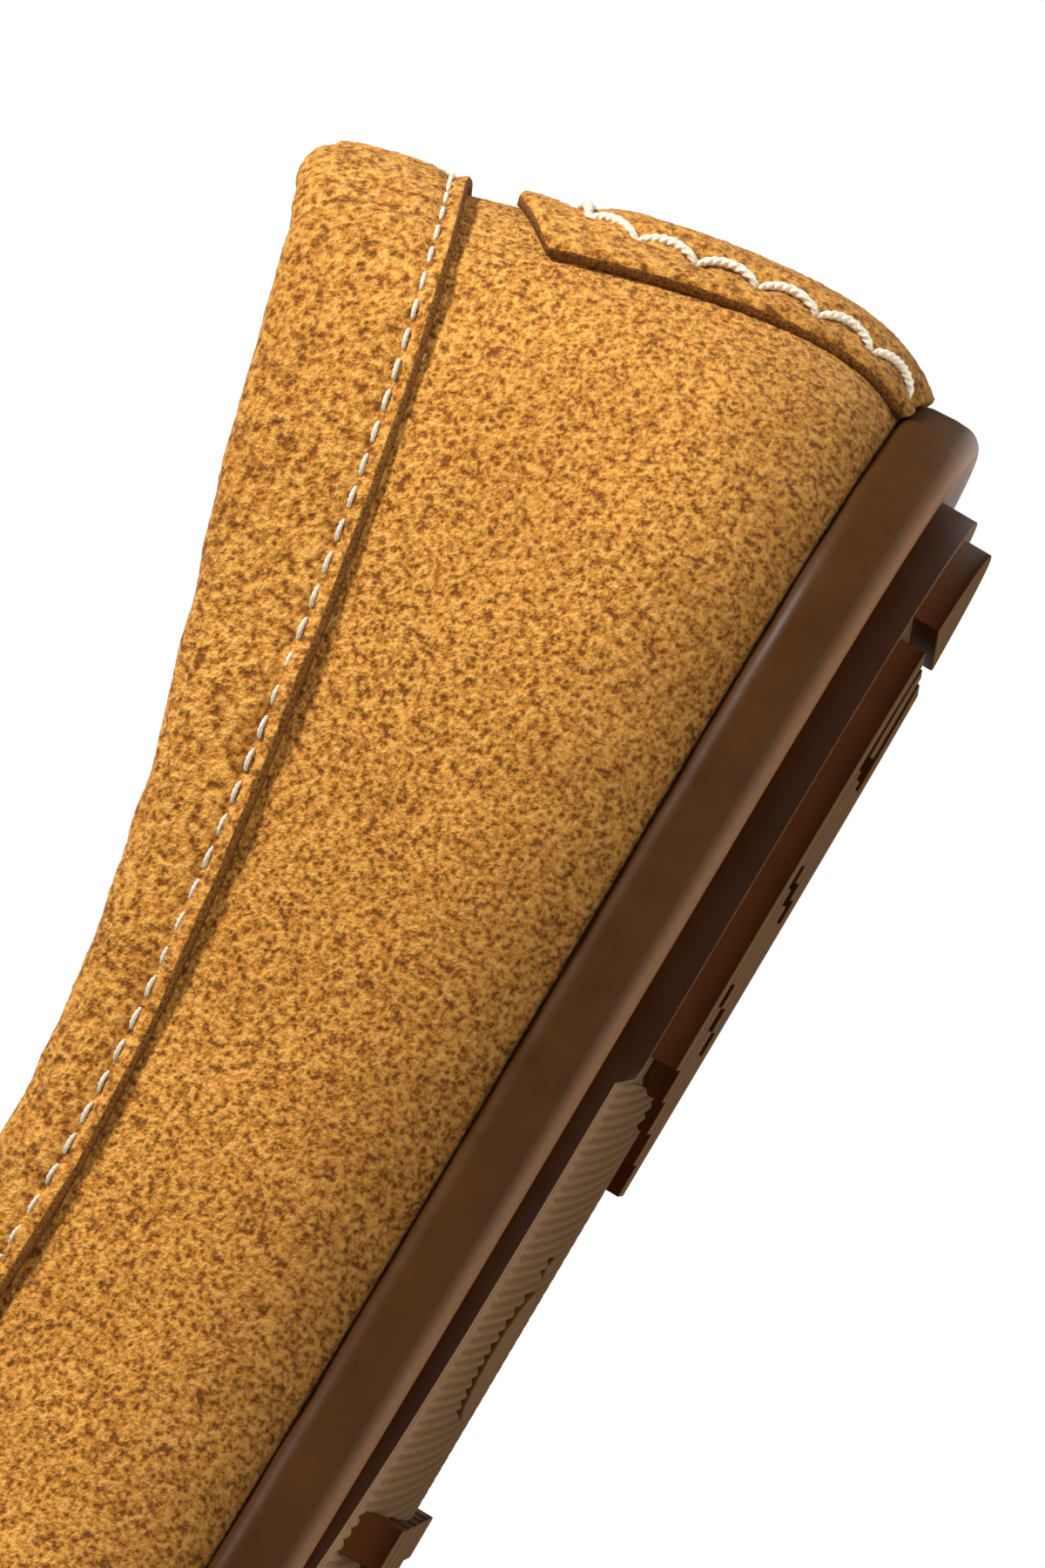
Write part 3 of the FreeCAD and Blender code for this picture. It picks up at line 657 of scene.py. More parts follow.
def quarter_piece(name, start, end, steps, rises, node, material):
    """One side of the shoe, turned in under the foot, its top edge inside the collar."""
    t = np.linspace(start, end, steps)[:, None]
    top = band_low(t[:, 0], QUARTER_UNDERLAP)[:, None]
    margin = np.linspace(-1, MARGIN_TURN, 8)[None, :]
    wall = np.linspace(WALL_START, 1, rises)[None, :] * top
    w = np.concatenate((np.broadcast_to(margin, (steps, 8)), wall), axis=1)
    base = wrap(t, w)
    relief = drawn_nap(base)
    relief *= smooth(w / FOOT_BLEND)
    outer = base + wrap_normal(t, w) * relief[..., None]
    inner_margin = np.linspace(-1, MARGIN_TURN, 4)[None, :] + 0 * top
    inner_wall = np.linspace(0.02, 1, 8)[None, :] * top
    inner_w = np.concatenate((inner_margin, inner_wall), axis=1)
    inner = wrap_offset(t, inner_w, -SUEDE)[:, ::-1]
    rings = np.concatenate((outer, inner), axis=1)
    return make_piece(name, rings.reshape(-1, 3), strip_faces(steps, rings.shape[1]), material, (node,))


def pucker(t, w, reach):
    """Gathers of the wrap where it is drawn to the plug: 1 on a fold, -1 between folds."""
    count = SEAM_STITCHES / (INNER_THROAT - OUTER_THROAT - 2 * SEAM_CLEAR)
    fade = np.clip((w - 1 + reach) / reach, 0, 1) ** 1.6
    return fade * np.cos(2 * math.pi * (t - OUTER_THROAT - SEAM_CLEAR) * count)


def vamp_piece(material):
    """Toe wrap: turned in under the foot, gathered up to the raised seam round the plug."""
    steps, rises = 640, 110
    t = np.linspace(OUTER_THROAT, INNER_THROAT, steps)[:, None]
    margin = np.linspace(-1, MARGIN_TURN, 8)
    wall = np.linspace(WALL_START, 1.0, rises)
    w = np.concatenate((margin, wall))[None, :]
    base = wrap(t, w)
    relief = drawn_nap(base)
    relief = relief * smooth(w / FOOT_BLEND) - PUCKER_DEPTH * pucker(t, w, PUCKER_REACH)
    outer = base + wrap_normal(t, w) * relief[..., None]
    ridge = SEAM_RIDGE * smooth((w - 0.93) / 0.06)
    outer = outer + point(0, 0, ridge + 0 * t)
    inner_w = np.concatenate((np.linspace(-1, MARGIN_TURN, 4), np.linspace(0.02, 0.95, 10), (1.0,)))[None, :]
    inner = wrap_offset(t, inner_w, -SUEDE)
    inner[:, -1] = outer[:, -1] - outward(t[:, 0]) * SUEDE * 0.55 - point(0, 0, 0.2 + 0 * t[:, 0])
    rings = np.concatenate((outer, inner[:, ::-1]), axis=1)
    return make_piece("toe_wrap", rings.reshape(-1, 3), strip_faces(steps, rings.shape[1]), material,
                      ("vamp",))


def collar_piece(material, edge_material):
    """Folded and padded band round the mouth, with a raw lower edge under the topstitch."""
    steps = 760
    t = np.linspace(INNER_THROAT, COUNT + OUTER_THROAT, steps)
    low = band_low(t)
    top = roll_start(t)
    inside = w_at_height(t, edge_height(t) - COLLAR_INSIDE_DEPTH)
    seam = band_low(t, COLLAR_STITCH_RISE)
    width = station(t)[:, 8]
    share = np.linspace(0, 1, 34)
    leg_w = low[:, None] + (top - low)[:, None] * share[None, :]
    height = (leg_w - low[:, None]) / (seam - low)[:, None] * COLLAR_STITCH_RISE
    puff = COLLAR_PUFF * np.sin(math.pi * np.clip((height - 2) / (width[:, None] - 3), 0, 1)) ** 0.7
    distance = travel(wrap_offset(t, seam, COLLAR_STITCH_FACE))
    pull = hole_pull(distance, distance[-1], FINE_PITCH, FINE_STITCH)[:, None]
    near_seam = np.exp(-((height - COLLAR_STITCH_RISE) / SEAM_DENT_WIDTH) ** 2)
    dent = near_seam * (SEAM_DENT + HOLE_DENT * pull ** 2)
    base = wrap(t[:, None], leg_w)
    relief = nap(base, 1.25) + 0.18 * ripple(base, 7.0, 11) + 0.2 * ripple(base, 18.0, 12)
    round_low = 0.35 * (1 - np.sqrt(1 - (1 - np.clip(height / 0.45, 0, 1)) ** 2))
    offset = COLLAR_MIDDLE + COLLAR_RADIUS + puff - dent + relief * 0.8 - round_low
    outer_leg = base + wrap_normal(t[:, None], leg_w) * offset[..., None]
    normal = wrap_normal(t, top)
    up = unit(wrap(t, top + 0.01) - wrap(t, top - 0.01))
    centre = wrap_offset(t, top, COLLAR_MIDDLE)
    turns = np.radians(np.linspace(9, 171, 19))
    arc = normal[:, None] * np.cos(turns)[None, :, None] + up[:, None] * np.sin(turns)[None, :, None]
    roll = centre[:, None] + arc * COLLAR_RADIUS
    roll = roll + arc * (0.7 * nap(roll, 1.2) + 0.12 * ripple(roll, 7.0, 11))[..., None]
    leg_in = top[:, None] + (inside - top)[:, None] * np.linspace(0, 1, 14)[None, :]
    base_in = wrap(t[:, None], leg_in)
    in_offset = COLLAR_MIDDLE - COLLAR_RADIUS - 0.15 * ripple(base_in, 12.0, 13) * np.linspace(0, 1, 14)
    inner_leg = base_in + wrap_normal(t[:, None], leg_in) * in_offset[..., None]
    under = COLLAR_RADIUS - COLLAR_LEATHER
    back_in = wrap_offset(t[:, None], leg_in[:, ::-4], COLLAR_MIDDLE - under)
    back_roll = centre[:, None] + arc[:, ::-4] * under
    back_leg = wrap_offset(t[:, None], leg_w[:, ::-6], COLLAR_MIDDLE + under)
    back_leg[:, -1] = wrap_offset(t, low, COLLAR_MIDDLE + under + 0.03)
    rings = np.concatenate((outer_leg, roll, inner_leg, back_in, back_roll, back_leg), axis=1)
    columns = rings.shape[1]
    piece = make_piece("collar", rings.reshape(-1, 3), strip_faces(steps, columns), material,
                       ("collar_band",))
    piece.data.materials.append(edge_material)
    edge_columns = (columns - 1, 0)
    for index, polygon in enumerate(piece.data.polygons):
        if index < (steps - 1) * columns and index % columns in edge_columns:
            polygon.material_index = 1
    return piece


def tab_half(b):
    return TAB_HALF_FOOT + (TAB_HALF_TOP - TAB_HALF_FOOT) * b ** 0.8


def tab_place(a, b):
    """Place on the upper of a point of the heel tab: a is -1 to 1 across, b is 0 to 1 up."""
    t = a * tab_half(b) * TAB_PLACES_PER_MM
    top = w_at_height(t, TAB_TOP_HEIGHT - TAB_CORNER_DROP * np.abs(a) ** 1.6)
    return t, TAB_FOOT + (top - TAB_FOOT) * b


def tab_stitch_line(count):
    """Line of the hand stitch inside the tab's edge, as a and b, from one foot over the top to the other."""
    share = np.linspace(0, 1, count)
    turn = math.pi * share * share * (3 - 2 * share)
    across = np.sign(np.cos(turn)) * np.sqrt(np.abs(np.cos(turn)))
    b = TAB_STITCH_FOOT + (TAB_STITCH_TOP - TAB_STITCH_FOOT) * np.sqrt(np.abs(np.sin(turn)))
    return across * (1 - TAB_INSET / tab_half(b)), b


def travel(points):
    """Distances along a line of points."""
    return np.concatenate(((0,), np.cumsum(np.linalg.norm(np.diff(points, axis=0), axis=1))))


def stitch_starts(total, pitch, length):
    """Where stitches start along a line, centred on it."""
    count = int((total - length) // pitch) + 1
    lead = (total - (count - 1) * pitch - length) / 2
    return lead + pitch * np.arange(count)


def hole_pull(distance, total, pitch, length):
    """1 at the holes between stitches, 0 under the middle of a stitch."""
    middle = stitch_starts(total, pitch, length)[0] + length / 2
    return 0.5 - 0.5 * np.cos(2 * math.pi * (distance - middle) / pitch)


def heel_tab_piece(material, edge_material):
    """Patch over the centre-back seam: raw edge, puffed inside its stitch line."""
    rows, columns = 171, 201
    a = np.linspace(-1, 1, rows)[:, None]
    b = np.linspace(0, 1, columns)[None, :]
    a, b = np.broadcast_arrays(a, b)
    t, w = tab_place(a, b)
    half = tab_half(b)
    flat = np.stack((a * half, b * TAB_TALL), axis=-1)
    line_a, line_b = tab_stitch_line(400)
    line = np.stack((line_a * tab_half(line_b), line_b * TAB_TALL), axis=-1)
    line_t, line_w = tab_place(line_a, line_b)
    travelled = travel(wrap_offset(line_t, line_w, TAB_FACE))
    gap = np.full(a.shape, 1e9)
    nearest = np.zeros(a.shape)
    for place, here in zip(line, travelled):
        far = np.linalg.norm(flat - place, axis=-1)
        closer = far < gap
        gap = np.where(closer, far, gap)
        nearest = np.where(closer, here, nearest)
    rim = np.minimum((1 - np.abs(a)) * half, (1 - b) * TAB_TALL)
    inside = smooth((rim - TAB_INSET) / TAB_PUFF_WIDTH)
    pull = hole_pull(nearest, travelled[-1], HEAVY_PITCH, HEAVY_STITCH)
    dent = TAB_DENT * np.exp(-(gap / 1.5) ** 2) + TAB_HOLE_DENT * pull ** 3 * np.exp(-gap ** 2)
    round_edge = TAB_EDGE_RADIUS * (1 - np.sqrt(1 - (1 - np.clip(rim / TAB_EDGE_RADIUS, 0, 1)) ** 2))
    base = wrap(t, w)
    face = TAB_FACE + TAB_PUFF * inside - dent - round_edge + nap(base, 1.2)
    outer = base + wrap_normal(t, w) * face[..., None]
    inner = wrap_offset(t, w, TAB_GAP)
    piece = pillow_piece("heel_patch", outer, inner, material, "heel_tab")
    piece.data.materials.append(edge_material)
    edge_start = 2 * (rows - 1) * (columns - 1)
    for polygon in piece.data.polygons[edge_start:]:
        polygon.material_index = 1
    return piece


def seam_edge(t):
    """Plug edge at places t."""
    return wrap(t, np.ones_like(t)) - outward(t) * PLUG_GAP


def plug_piece(material):
    """Apron on top of the toe, its edge turned up against the wrap's."""
    rows, columns = 150, 121
    share = (1 - (1 - np.linspace(0, 1, rows)) ** 1.6)[:, None] * 0.995
    across = np.sin(np.linspace(-1, 1, columns) * math.pi / 2)[None, :]
    outer_side = seam_edge(OUTER_THROAT + (TOE - OUTER_THROAT) * share[:, 0])[:, None]
    inner_side = seam_edge(INNER_THROAT + (TOE - INNER_THROAT) * share[:, 0])[:, None]
    blend = (1 + across[..., None]) / 2
    base = outer_side * (1 - blend) + inner_side * blend
    crown = PLUG_CROWN * (1 - 0.55 * share) * np.minimum(1.0, ((1 - share) / 0.25)) ** 0.5
    span = np.linalg.norm(outer_side - inner_side, axis=-1)
    from_edge = np.minimum((1 - np.abs(across)) * span / 2, (1 - share) * PLUG_FRONT_LENGTH)
    ridge = PLUG_RIDGE * np.exp(-(from_edge / 1.5) ** 2)
    valley = -PLUG_VALLEY * np.exp(-((from_edge - PLUG_VALLEY_PLACE) / 1.8) ** 2)
    uneven = 0.25 * ripple(base, 16.0, 21) * smooth(from_edge / 4) + nap(base, 1.1)
    lift_z = 0.6 + crown * (1 - across ** 2) + ridge + valley + uneven
    top = base + point(0, 0, lift_z)
    bottom = base + point(0, 0, lift_z - SUEDE)
    return pillow_piece("toe_plug", top, bottom, material, "plug")


def tongue_grid(rows, columns, drop, half_width):
    """Grid of the tongue, from under the plug up over the instep."""
    throat = wrap(np.array(OUTER_THROAT), np.array(1.0))
    reach = np.linspace(-TONGUE_TUCK, TONGUE_LENGTH, rows)[:, None]
    across = np.linspace(-1, 1, columns)[None, :]
    free = np.maximum(0.0, reach / TONGUE_LENGTH)
    rise = TONGUE_RISE * free ** 1.25 + TUCK_SLOPE * np.minimum(0.0, reach) - TONGUE_DROP - drop
    narrowing = 1 - 0.25 * free ** 3
    round_tip = np.sqrt(np.clip(1 - np.abs(across) ** 4 * smooth((free - 0.5) / 0.5) * 0.9, 0, 1))
    x = ORIGIN_X + across * half_width * narrowing
    y = throat[1] + reach - (1 - round_tip) * 6 * smooth((free - 0.4) / 0.6)
    z = throat[2] + PLUG_CROWN * (1 - 1.25 * across ** 2) + rise
    return point(x, y, z)


def tongue_pieces(suede, textile):
    rows, columns = 90, 90
    top = tongue_grid(rows, columns, 0.0, TONGUE_HALF_WIDTH)
    top = top + point(0, 0, nap(top, 1.2) + 0.3 * ripple(top, 14.0, 31))
    bottom = tongue_grid(rows, columns, TONGUE_THICKNESS, TONGUE_HALF_WIDTH)
    flap = pillow_piece("tongue_flap", top, bottom, suede, "tongue")
    top = tongue_grid(40, 40, TONGUE_THICKNESS + LAYER_GAP, TONGUE_HALF_WIDTH - 1)
    bottom = tongue_grid(40, 40, TONGUE_THICKNESS + LAYER_GAP + TONGUE_LINING, TONGUE_HALF_WIDTH - 1)
    pillow_piece("tongue_back", top, bottom, textile, "tongue_lining")


# ---- Threads ----

def twisted_bars(paths, radius, turns_per_mm, lobes=3, around=12):
    """Twisted threads along paths of shape (stitches, points, 3), tapered at their ends."""
    along = np.gradient(paths, axis=1)
    along = unit(along)
    side = unit(np.cross(along, np.array((0.13, 0.21, 0.97))))
    other = np.cross(along, side)
    step = np.linalg.norm(np.diff(paths, axis=1), axis=-1)
    travelled = np.concatenate((np.zeros((len(paths), 1)), np.cumsum(step, axis=1)), axis=1)
    angle = np.linspace(0, 2 * math.pi, around, endpoint=False)
    twist = travelled[..., None] * turns_per_mm * 2 * math.pi
    lobe = 1 + 0.17 * np.cos(lobes * angle + twist)
    place = np.linspace(0, 1, paths.shape[1])
    taper = 0.55 + 0.45 * np.sin(math.pi * place) ** 0.4
    size = (radius * lobe * taper[None, :, None])[..., None]
    ring = side[:, :, None] * np.cos(angle)[:, None] + other[:, :, None] * np.sin(angle)[:, None]
    points = paths[:, :, None] + ring * size
    faces = []
    rows = paths.shape[1]
    for index in range(len(paths)):
        start = index * rows * around
        faces += grid_faces(rows, around, start, close_columns=True).tolist()
        faces.append(list(range(start, start + around))[::-1])
        last = start + (rows - 1) * around
        faces.append(list(range(last, last + around)))
    return points.reshape(-1, 3), faces


def stitch_paths(line, normal, pitch, length, sink, rise, bow=0.0, rows=16):
    """Paths of single stitches along a line of points, each diving into the leather at both ends."""
    travelled = travel(line)
    share = np.linspace(0, 1, rows)
    arc = np.sin(math.pi * share) ** 0.45
    paths = []
    for start in stitch_starts(travelled[-1], pitch, length):
        here = start + share * length
        place = np.stack([np.interp(here, travelled, line[:, k]) for k in range(3)], axis=-1)
        out = unit(np.stack([np.interp(here, travelled, normal[:, k]) for k in range(3)], axis=-1))
        aside = unit(np.cross(place[-1] - place[0], out[rows // 2]))
        place = place + aside * (bow * np.sin(math.pi * share))[:, None]
        paths.append(place + out * (-sink + (sink + rise) * arc)[:, None])
    return np.array(paths)


def collar_thread(material):
    t = np.linspace(INNER_THROAT, COUNT + OUTER_THROAT, 1500)
    w = band_low(t, COLLAR_STITCH_RISE)
    line = wrap_offset(t, w, COLLAR_STITCH_FACE)
    paths = stitch_paths(line, wrap_normal(t, w), FINE_PITCH, FINE_STITCH, 0.45, 0.2)
    points, faces = twisted_bars(paths, FINE_THREAD / 2, FINE_TWIST, lobes=2)
    make_piece("collar_thread", points, faces, material, ("collar_stitching",))


def heel_tab_thread(material):
    a, b = tab_stitch_line(900)
    t, w = tab_place(a, b)
    line = wrap_offset(t, w, TAB_FACE)
    paths = stitch_paths(line, wrap_normal(t, w), HEAVY_PITCH, HEAVY_STITCH, 0.95, 0.25, 0.6, rows=64)
    points, faces = twisted_bars(paths, HEAVY_THREAD / 2, THREAD_TWIST, around=18)
    make_piece("heel_patch_thread", points, faces, material, ("heel_tab_stitching",))


def plug_thread(material):
    """Hand stitches over the raised seam, one in each valley of the gathers."""
    t = np.linspace(OUTER_THROAT + SEAM_CLEAR, INNER_THROAT - SEAM_CLEAR, SEAM_STITCHES + 1)
    edge = wrap(t, np.ones_like(t))
    out = outward(t)
    turn = np.radians(np.linspace(-25, 205, 40))
    rise = 0.75 + 2.2 * np.maximum(np.sin(turn), -0.25)
    reach = 1.75 * np.cos(turn)
    paths = edge[:, None] + out[:, None] * reach[None, :, None] - out[:, None] * 0.1
    paths = paths + point(0, 0, rise)[None]
    points, faces = twisted_bars(paths, HEAVY_THREAD / 2, THREAD_TWIST, around=16)
    make_piece("plug_thread", points, faces, material, ("plug_stitching",))


def side_seam_thread(material):
    """Double rows where each quarter meets the vamp."""
    rows = []
    for throat, side in ((OUTER_THROAT, -1), (INNER_THROAT, 1)):
        for gap in SIDE_SEAM_ROWS:
            t = np.full(300, throat + side * gap)
            w = 0.06 + np.linspace(0, 1, 300) * (band_low(t) - 0.1)
            paths = stitch_paths(wrap(t, w), wrap_normal(t, w), FINE_PITCH, FINE_STITCH, 0.3, 0.22)
            rows.append(twisted_bars(paths, FINE_THREAD / 2, FINE_TWIST, lobes=2))
    points, faces = joined(rows)
    make_piece("side_seam_thread", points, faces, material, ("side_seam_stitching",))


# ---- Sole ----

def rim_arc(centre_x, centre_z, radius, start, end):
    """Twelve points of a rounded rim between two angles in degrees."""
    turns = np.radians(np.linspace(start, end, 12))
    return [(centre_x + radius * math.cos(turn), centre_z + radius * math.sin(turn)) for turn in turns]


def band_profile():
    """Cross-section of the sidewall: offset from the featherline and height, from the inside top round."""
    points = [(-14.0, SOLE_TOP - 0.5), (-6.0, SOLE_TOP - 0.5), (-1.6, SOLE_TOP + 0.05)]
    points += rim_arc(BAND_OUT - BAND_TOP_RADIUS, SOLE_TOP + 0.25 - BAND_TOP_RADIUS, BAND_TOP_RADIUS, 110, 0)
    points.append((BAND_OUT + 0.15, TREAD_TOP + 3.4))
    points += rim_arc(BAND_OUT + 0.1 - BAND_LOW_RADIUS, TREAD_TOP + BAND_LOW_RADIUS, BAND_LOW_RADIUS, 0, -85)
    points += [(-2.6, TREAD_TOP + 0.35), (-4.2, TREAD_TOP + 0.5), (-14.0, TREAD_TOP + 0.5)]
    return points


def sidewall_piece(material):
    steps = 620
    t = np.linspace(0, COUNT, steps, endpoint=False)
    lifted = lift(station(t)[:, 1])
    rings = []
    for offset, z in band_profile():
        rings.append(outline(t, offset, z + lifted))
    rings = np.stack(rings, axis=1)
    wobble = 0.08 * ripple(rings, 30.0, 41)
    rings = rings + outward(t)[:, None] * wobble[..., None]
    faces = grid_faces(steps, rings.shape[1], close_rows=True, close_columns=True)
    return make_piece("sidewall", rings.reshape(-1, 3), faces, material, ("midsole",))


def arch_bottom(x):
    return ARCH_BOTTOM + (ARCH_EDGE - ARCH_BOTTOM) * (x / ARCH_HALF_WIDTH) ** 2


def reach_of(y):
    return TREAD_REAR - y


def across_rows(offset, rows, columns):
    """Plan grid from side to side of an outline, rows from heel to toe."""
    share = np.linspace(0.0, 1.0, rows)
    t = share * TOE
    outer_side = outline(t, offset)
    inner_side = outline(-t, offset)
    blend = np.linspace(0, 1, columns)[None, :, None]
    return outer_side[:, None] * (1 - blend) + inner_side[:, None] * blend


def tread_base(material):
    """Base of the tread between the sidewall and the lugs, with the crowned arch."""
    rows, columns = 260, 61
    top = across_rows(TREAD_OUT, rows, columns)
    bottom = top.copy()
    reach = reach_of(top[..., 1])
    start = HEEL_BREAST[0] + GROOVE
    end = ARCH_END
    in_arch = smooth((reach - start) / 0.8) * smooth((end - reach) / 0.8)
    rise = lift(top[..., 1])
    top[..., 2] = TREAD_TOP + 0.55 + rise
    bottom[..., 2] = LUG_DEPTH * (1 - in_arch) + arch_bottom(top[..., 0]) * in_arch + rise
    piece = pillow_piece("tread_base", top, bottom, material, "outsole")
    bevelled(piece, BASE_ROUNDING)
    return piece


def prism(corners, low, high):
    """Points and faces of an upright prism on plan corners, its bottom bent by the toe spring."""
    corners = np.array(corners, float)
    count = len(corners)
    rise = lift(corners[:, 1])
    bottom = np.column_stack((corners[:, :2], low + rise))
    top = np.column_stack((corners[:, :2], high + rise))
    faces = [list(range(count)), list(range(2 * count - 1, count - 1, -1))]
    for index in range(count):
        after = (index + 1) % count
        faces.append([index, index + count, after + count, after])
    return np.concatenate((bottom, top)), faces


def t_at_reach(reach, side, offset, slant=0.0):
    """Place on one side of the shoe (side is 1 outer, -1 inner) at a distance from the tread's rear."""
    t = np.linspace(0.2, TOE - 0.1, 1500)
    plan = outline(side * t, offset)
    return float(np.interp(reach, reach_of(plan[:, 1]) - slant * (SLOT_PIVOT_X - plan[:, 0]), t))


def plate_corners(start, end, side, slant=0.0):
    """Lug along one edge of the tread between two distances from its rear."""
    inner_offset = LUG_OUT - LUG_RING_WIDTH
    outer_t = np.linspace(t_at_reach(start, side, LUG_OUT, slant),
                          t_at_reach(end, side, LUG_OUT), PLATE_POINTS)
    inner_t = np.linspace(t_at_reach(end, side, inner_offset),
                          t_at_reach(start, side, inner_offset, slant), PLATE_POINTS)
    outer_points = outline(side * outer_t, LUG_OUT)
    inner_points = outline(side * inner_t, inner_offset)
    return np.concatenate((outer_points, inner_points))[:, :2]


def side_limit(reach, side, offset):
    """Where an offset outline lies across the shoe, at a distance from the tread's rear."""
    return float(outline(side * t_at_reach(reach, side, offset), offset)[0])


def core_limit(reach, side):
    """How far out the inner blocks may reach."""
    return side_limit(reach, side, LUG_OUT - LUG_RING_WIDTH - GROOVE)


def heel_slot(x):
    """Front edge of the slanted slot behind the heel's lugs."""
    return HEEL_PLATE_START + SLOT_SLANT * (SLOT_PIVOT_X - x)


def block_corners(centre, start, end):
    """Inner block, clipped by the plates beside it; None when nothing is left."""
    half = INNER_BLOCK_WIDTH / 2
    reaches = np.linspace(start, end, 4)
    right = [min(centre + half, core_limit(reach, 1)) for reach in reaches]
    left = [max(centre - half, core_limit(reach, -1)) for reach in reaches]
    if min(r - l for r, l in zip(right, left)) < SMALLEST_BLOCK:
        return None
    right_y = [TREAD_REAR - max(reach, heel_slot(x)) for reach, x in zip(reaches, right)]
    left_y = [TREAD_REAR - max(reach, heel_slot(x)) for reach, x in zip(reaches, left)]
    return list(zip(right, right_y)) + list(zip(left, left_y))[::-1]


def block_spans(start, end, count):
    length = (end - start - GROOVE * (count - 1)) / count
    return [(start + k * (length + GROOVE), start + k * (length + GROOVE) + length) for k in range(count)]


def crescent_corners():
    """Rear rim lug of the heel."""
    t = t_at_reach(HEEL_CRESCENT, 1, LUG_OUT, SLOT_SLANT)
    inner_t = t_at_reach(HEEL_CRESCENT, -1, LUG_OUT, SLOT_SLANT)
    return outline(np.linspace(-inner_t, t, RIM_POINTS), LUG_OUT)[:, :2]


def toe_cap_corners(reach):
    """Front rim lug of the toe."""
    t = t_at_reach(reach, 1, LUG_OUT)
    inner_t = t_at_reach(reach, -1, LUG_OUT)
    return outline(np.linspace(t, COUNT - inner_t, RIM_POINTS), LUG_OUT)[:, :2]


def lug_outlines():
    """Plan corners of every lug."""
    shapes = [crescent_corners()]
    shapes.append(plate_corners(HEEL_PLATE_START, HEEL_BREAST[0], 1, SLOT_SLANT))
    shapes.append(plate_corners(HEEL_PLATE_START, HEEL_BREAST[-1], -1, SLOT_SLANT))
    starter_end = FOREFOOT_START + STARTER_LENGTH
    front = [(FOREFOOT_START, starter_end)] + block_spans(starter_end + GROOVE, FOREFOOT_END, PLATE_ROWS)
    for side in (1, -1):
        shapes += [plate_corners(start, end, side) for start, end in front[:-1]]
    shapes.append(toe_cap_corners(front[-1][0]))
    for centre, breast in zip(INNER_COLUMNS, HEEL_BREAST[1:4]):
        for start, end in block_spans(HEEL_PLATE_START, breast, HEEL_BLOCK_ROWS):
            shapes.append(block_corners(centre, start, end))
    outer_columns = (2 * INNER_COLUMNS[0], 2 * INNER_COLUMNS[-1])
    for start, end in block_spans(FOREFOOT_START, FOREFOOT_END, FOREFOOT_BLOCK_ROWS)[:-1]:
        for centre in INNER_COLUMNS + outer_columns:
            shapes.append(block_corners(centre, start, end))
    return [shape for shape in shapes if shape is not None]


def lug_piece(material):
    points, faces = joined([prism(corners, 0.0, TREAD_TOP - 0.6) for corners in lug_outlines()])
    piece = make_piece("tread_lugs", points, faces, material, ("outsole",))
    bevelled(piece, LUG_ROUNDING, segments=3)
    return piece


def arch_cords(material):
    """Rope-like ridges over the crowned arch."""
    start = HEEL_BREAST[0] + GROOVE + 0.6
    end = ARCH_END - 0.6
    rows, columns = 400, 260
    reach = np.linspace(start, end, rows)[:, None]
    across = np.linspace(-1, 1, columns)[None, :]
    limits = np.array([[side_limit(place, side, TREAD_OUT - ROPE_INSET) for side in (1, -1)]
                       for place in reach[:, 0]])
    x = limits[:, :1] * (1 + across) / 2 + limits[:, 1:] * (1 - across) / 2
    y = TREAD_REAR - reach + 0 * x
    turn = (y * math.cos(ROPE_LEAN) + x * math.sin(ROPE_LEAN)) / ROPE_PITCH
    strand = (x * math.cos(ROPE_LEAN) - y * math.sin(ROPE_LEAN)) / STRAND_LENGTH
    phase = 2 * math.pi * turn
    cord = np.abs(np.cos(phase / 2)) ** 0.8
    twist = 0.5 + 0.5 * np.cos(2 * math.pi * strand + 1.1 * np.sin(phase / 2) * np.sign(np.cos(phase / 2)))
    fade = smooth((1 - np.abs(across)) * 16)
    proud = 0.05 + 0.5 * cord * (0.65 + 0.35 * twist) * fade
    bottom = arch_bottom(x) - proud
    low = point(x, y, bottom)
    high = point(x, y, arch_bottom(x) + 0.4)
    return pillow_piece("arch_cords", low, high, material, "outsole")


# Button shapes: share of the full radius, and height in millimetres above the arch's surface.
BOSS_PROFILE = ((1.0, 1.4), (1.0, -0.65), (0.96, -0.85), (0.9, -0.9), (0.85, -0.78), (0.5, -0.75),
                (0.02, -0.75))
NUB_PROFILE = ((1.0, 0.64), (1.0, -0.4), (0.9, -0.64), (0.7, -0.76), (0.3, -0.8), (0.02, -0.8))


def arch_button(name, radius_x, radius_y, reach, profile, around, material):
    """Raised button on the arch, as rings from its root to its face."""
    angle = np.linspace(0, 2 * math.pi, around, endpoint=False)
    rings = []
    for size, z in profile:
        x = BOSS_X + size * radius_x * np.cos(angle)
        y = TREAD_REAR - reach + size * radius_y * np.sin(angle)
        rings.append(point(x, y, arch_bottom(x) + z))
    faces = strip_faces(len(rings), around)
    make_piece(name, np.concatenate(rings), faces, material, ("outsole",))


def arch_boss(material):
    """Plain oval boss with a shallow dished face, and the round nub behind it."""
    arch_button("arch_boss", BOSS_WIDTH / 2, BOSS_LENGTH / 2, BOSS_REACH, BOSS_PROFILE, 96, material)
    arch_button("arch_nub", NUB_RADIUS, NUB_RADIUS, NUB_REACH, NUB_PROFILE, 32, material)


# ---- CAD nodes that keep their own shape ----

def dress(node, material):
    """Gives a CAD node a finished material."""
    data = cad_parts[node].data
    data.materials.clear()
    data.materials.append(material)


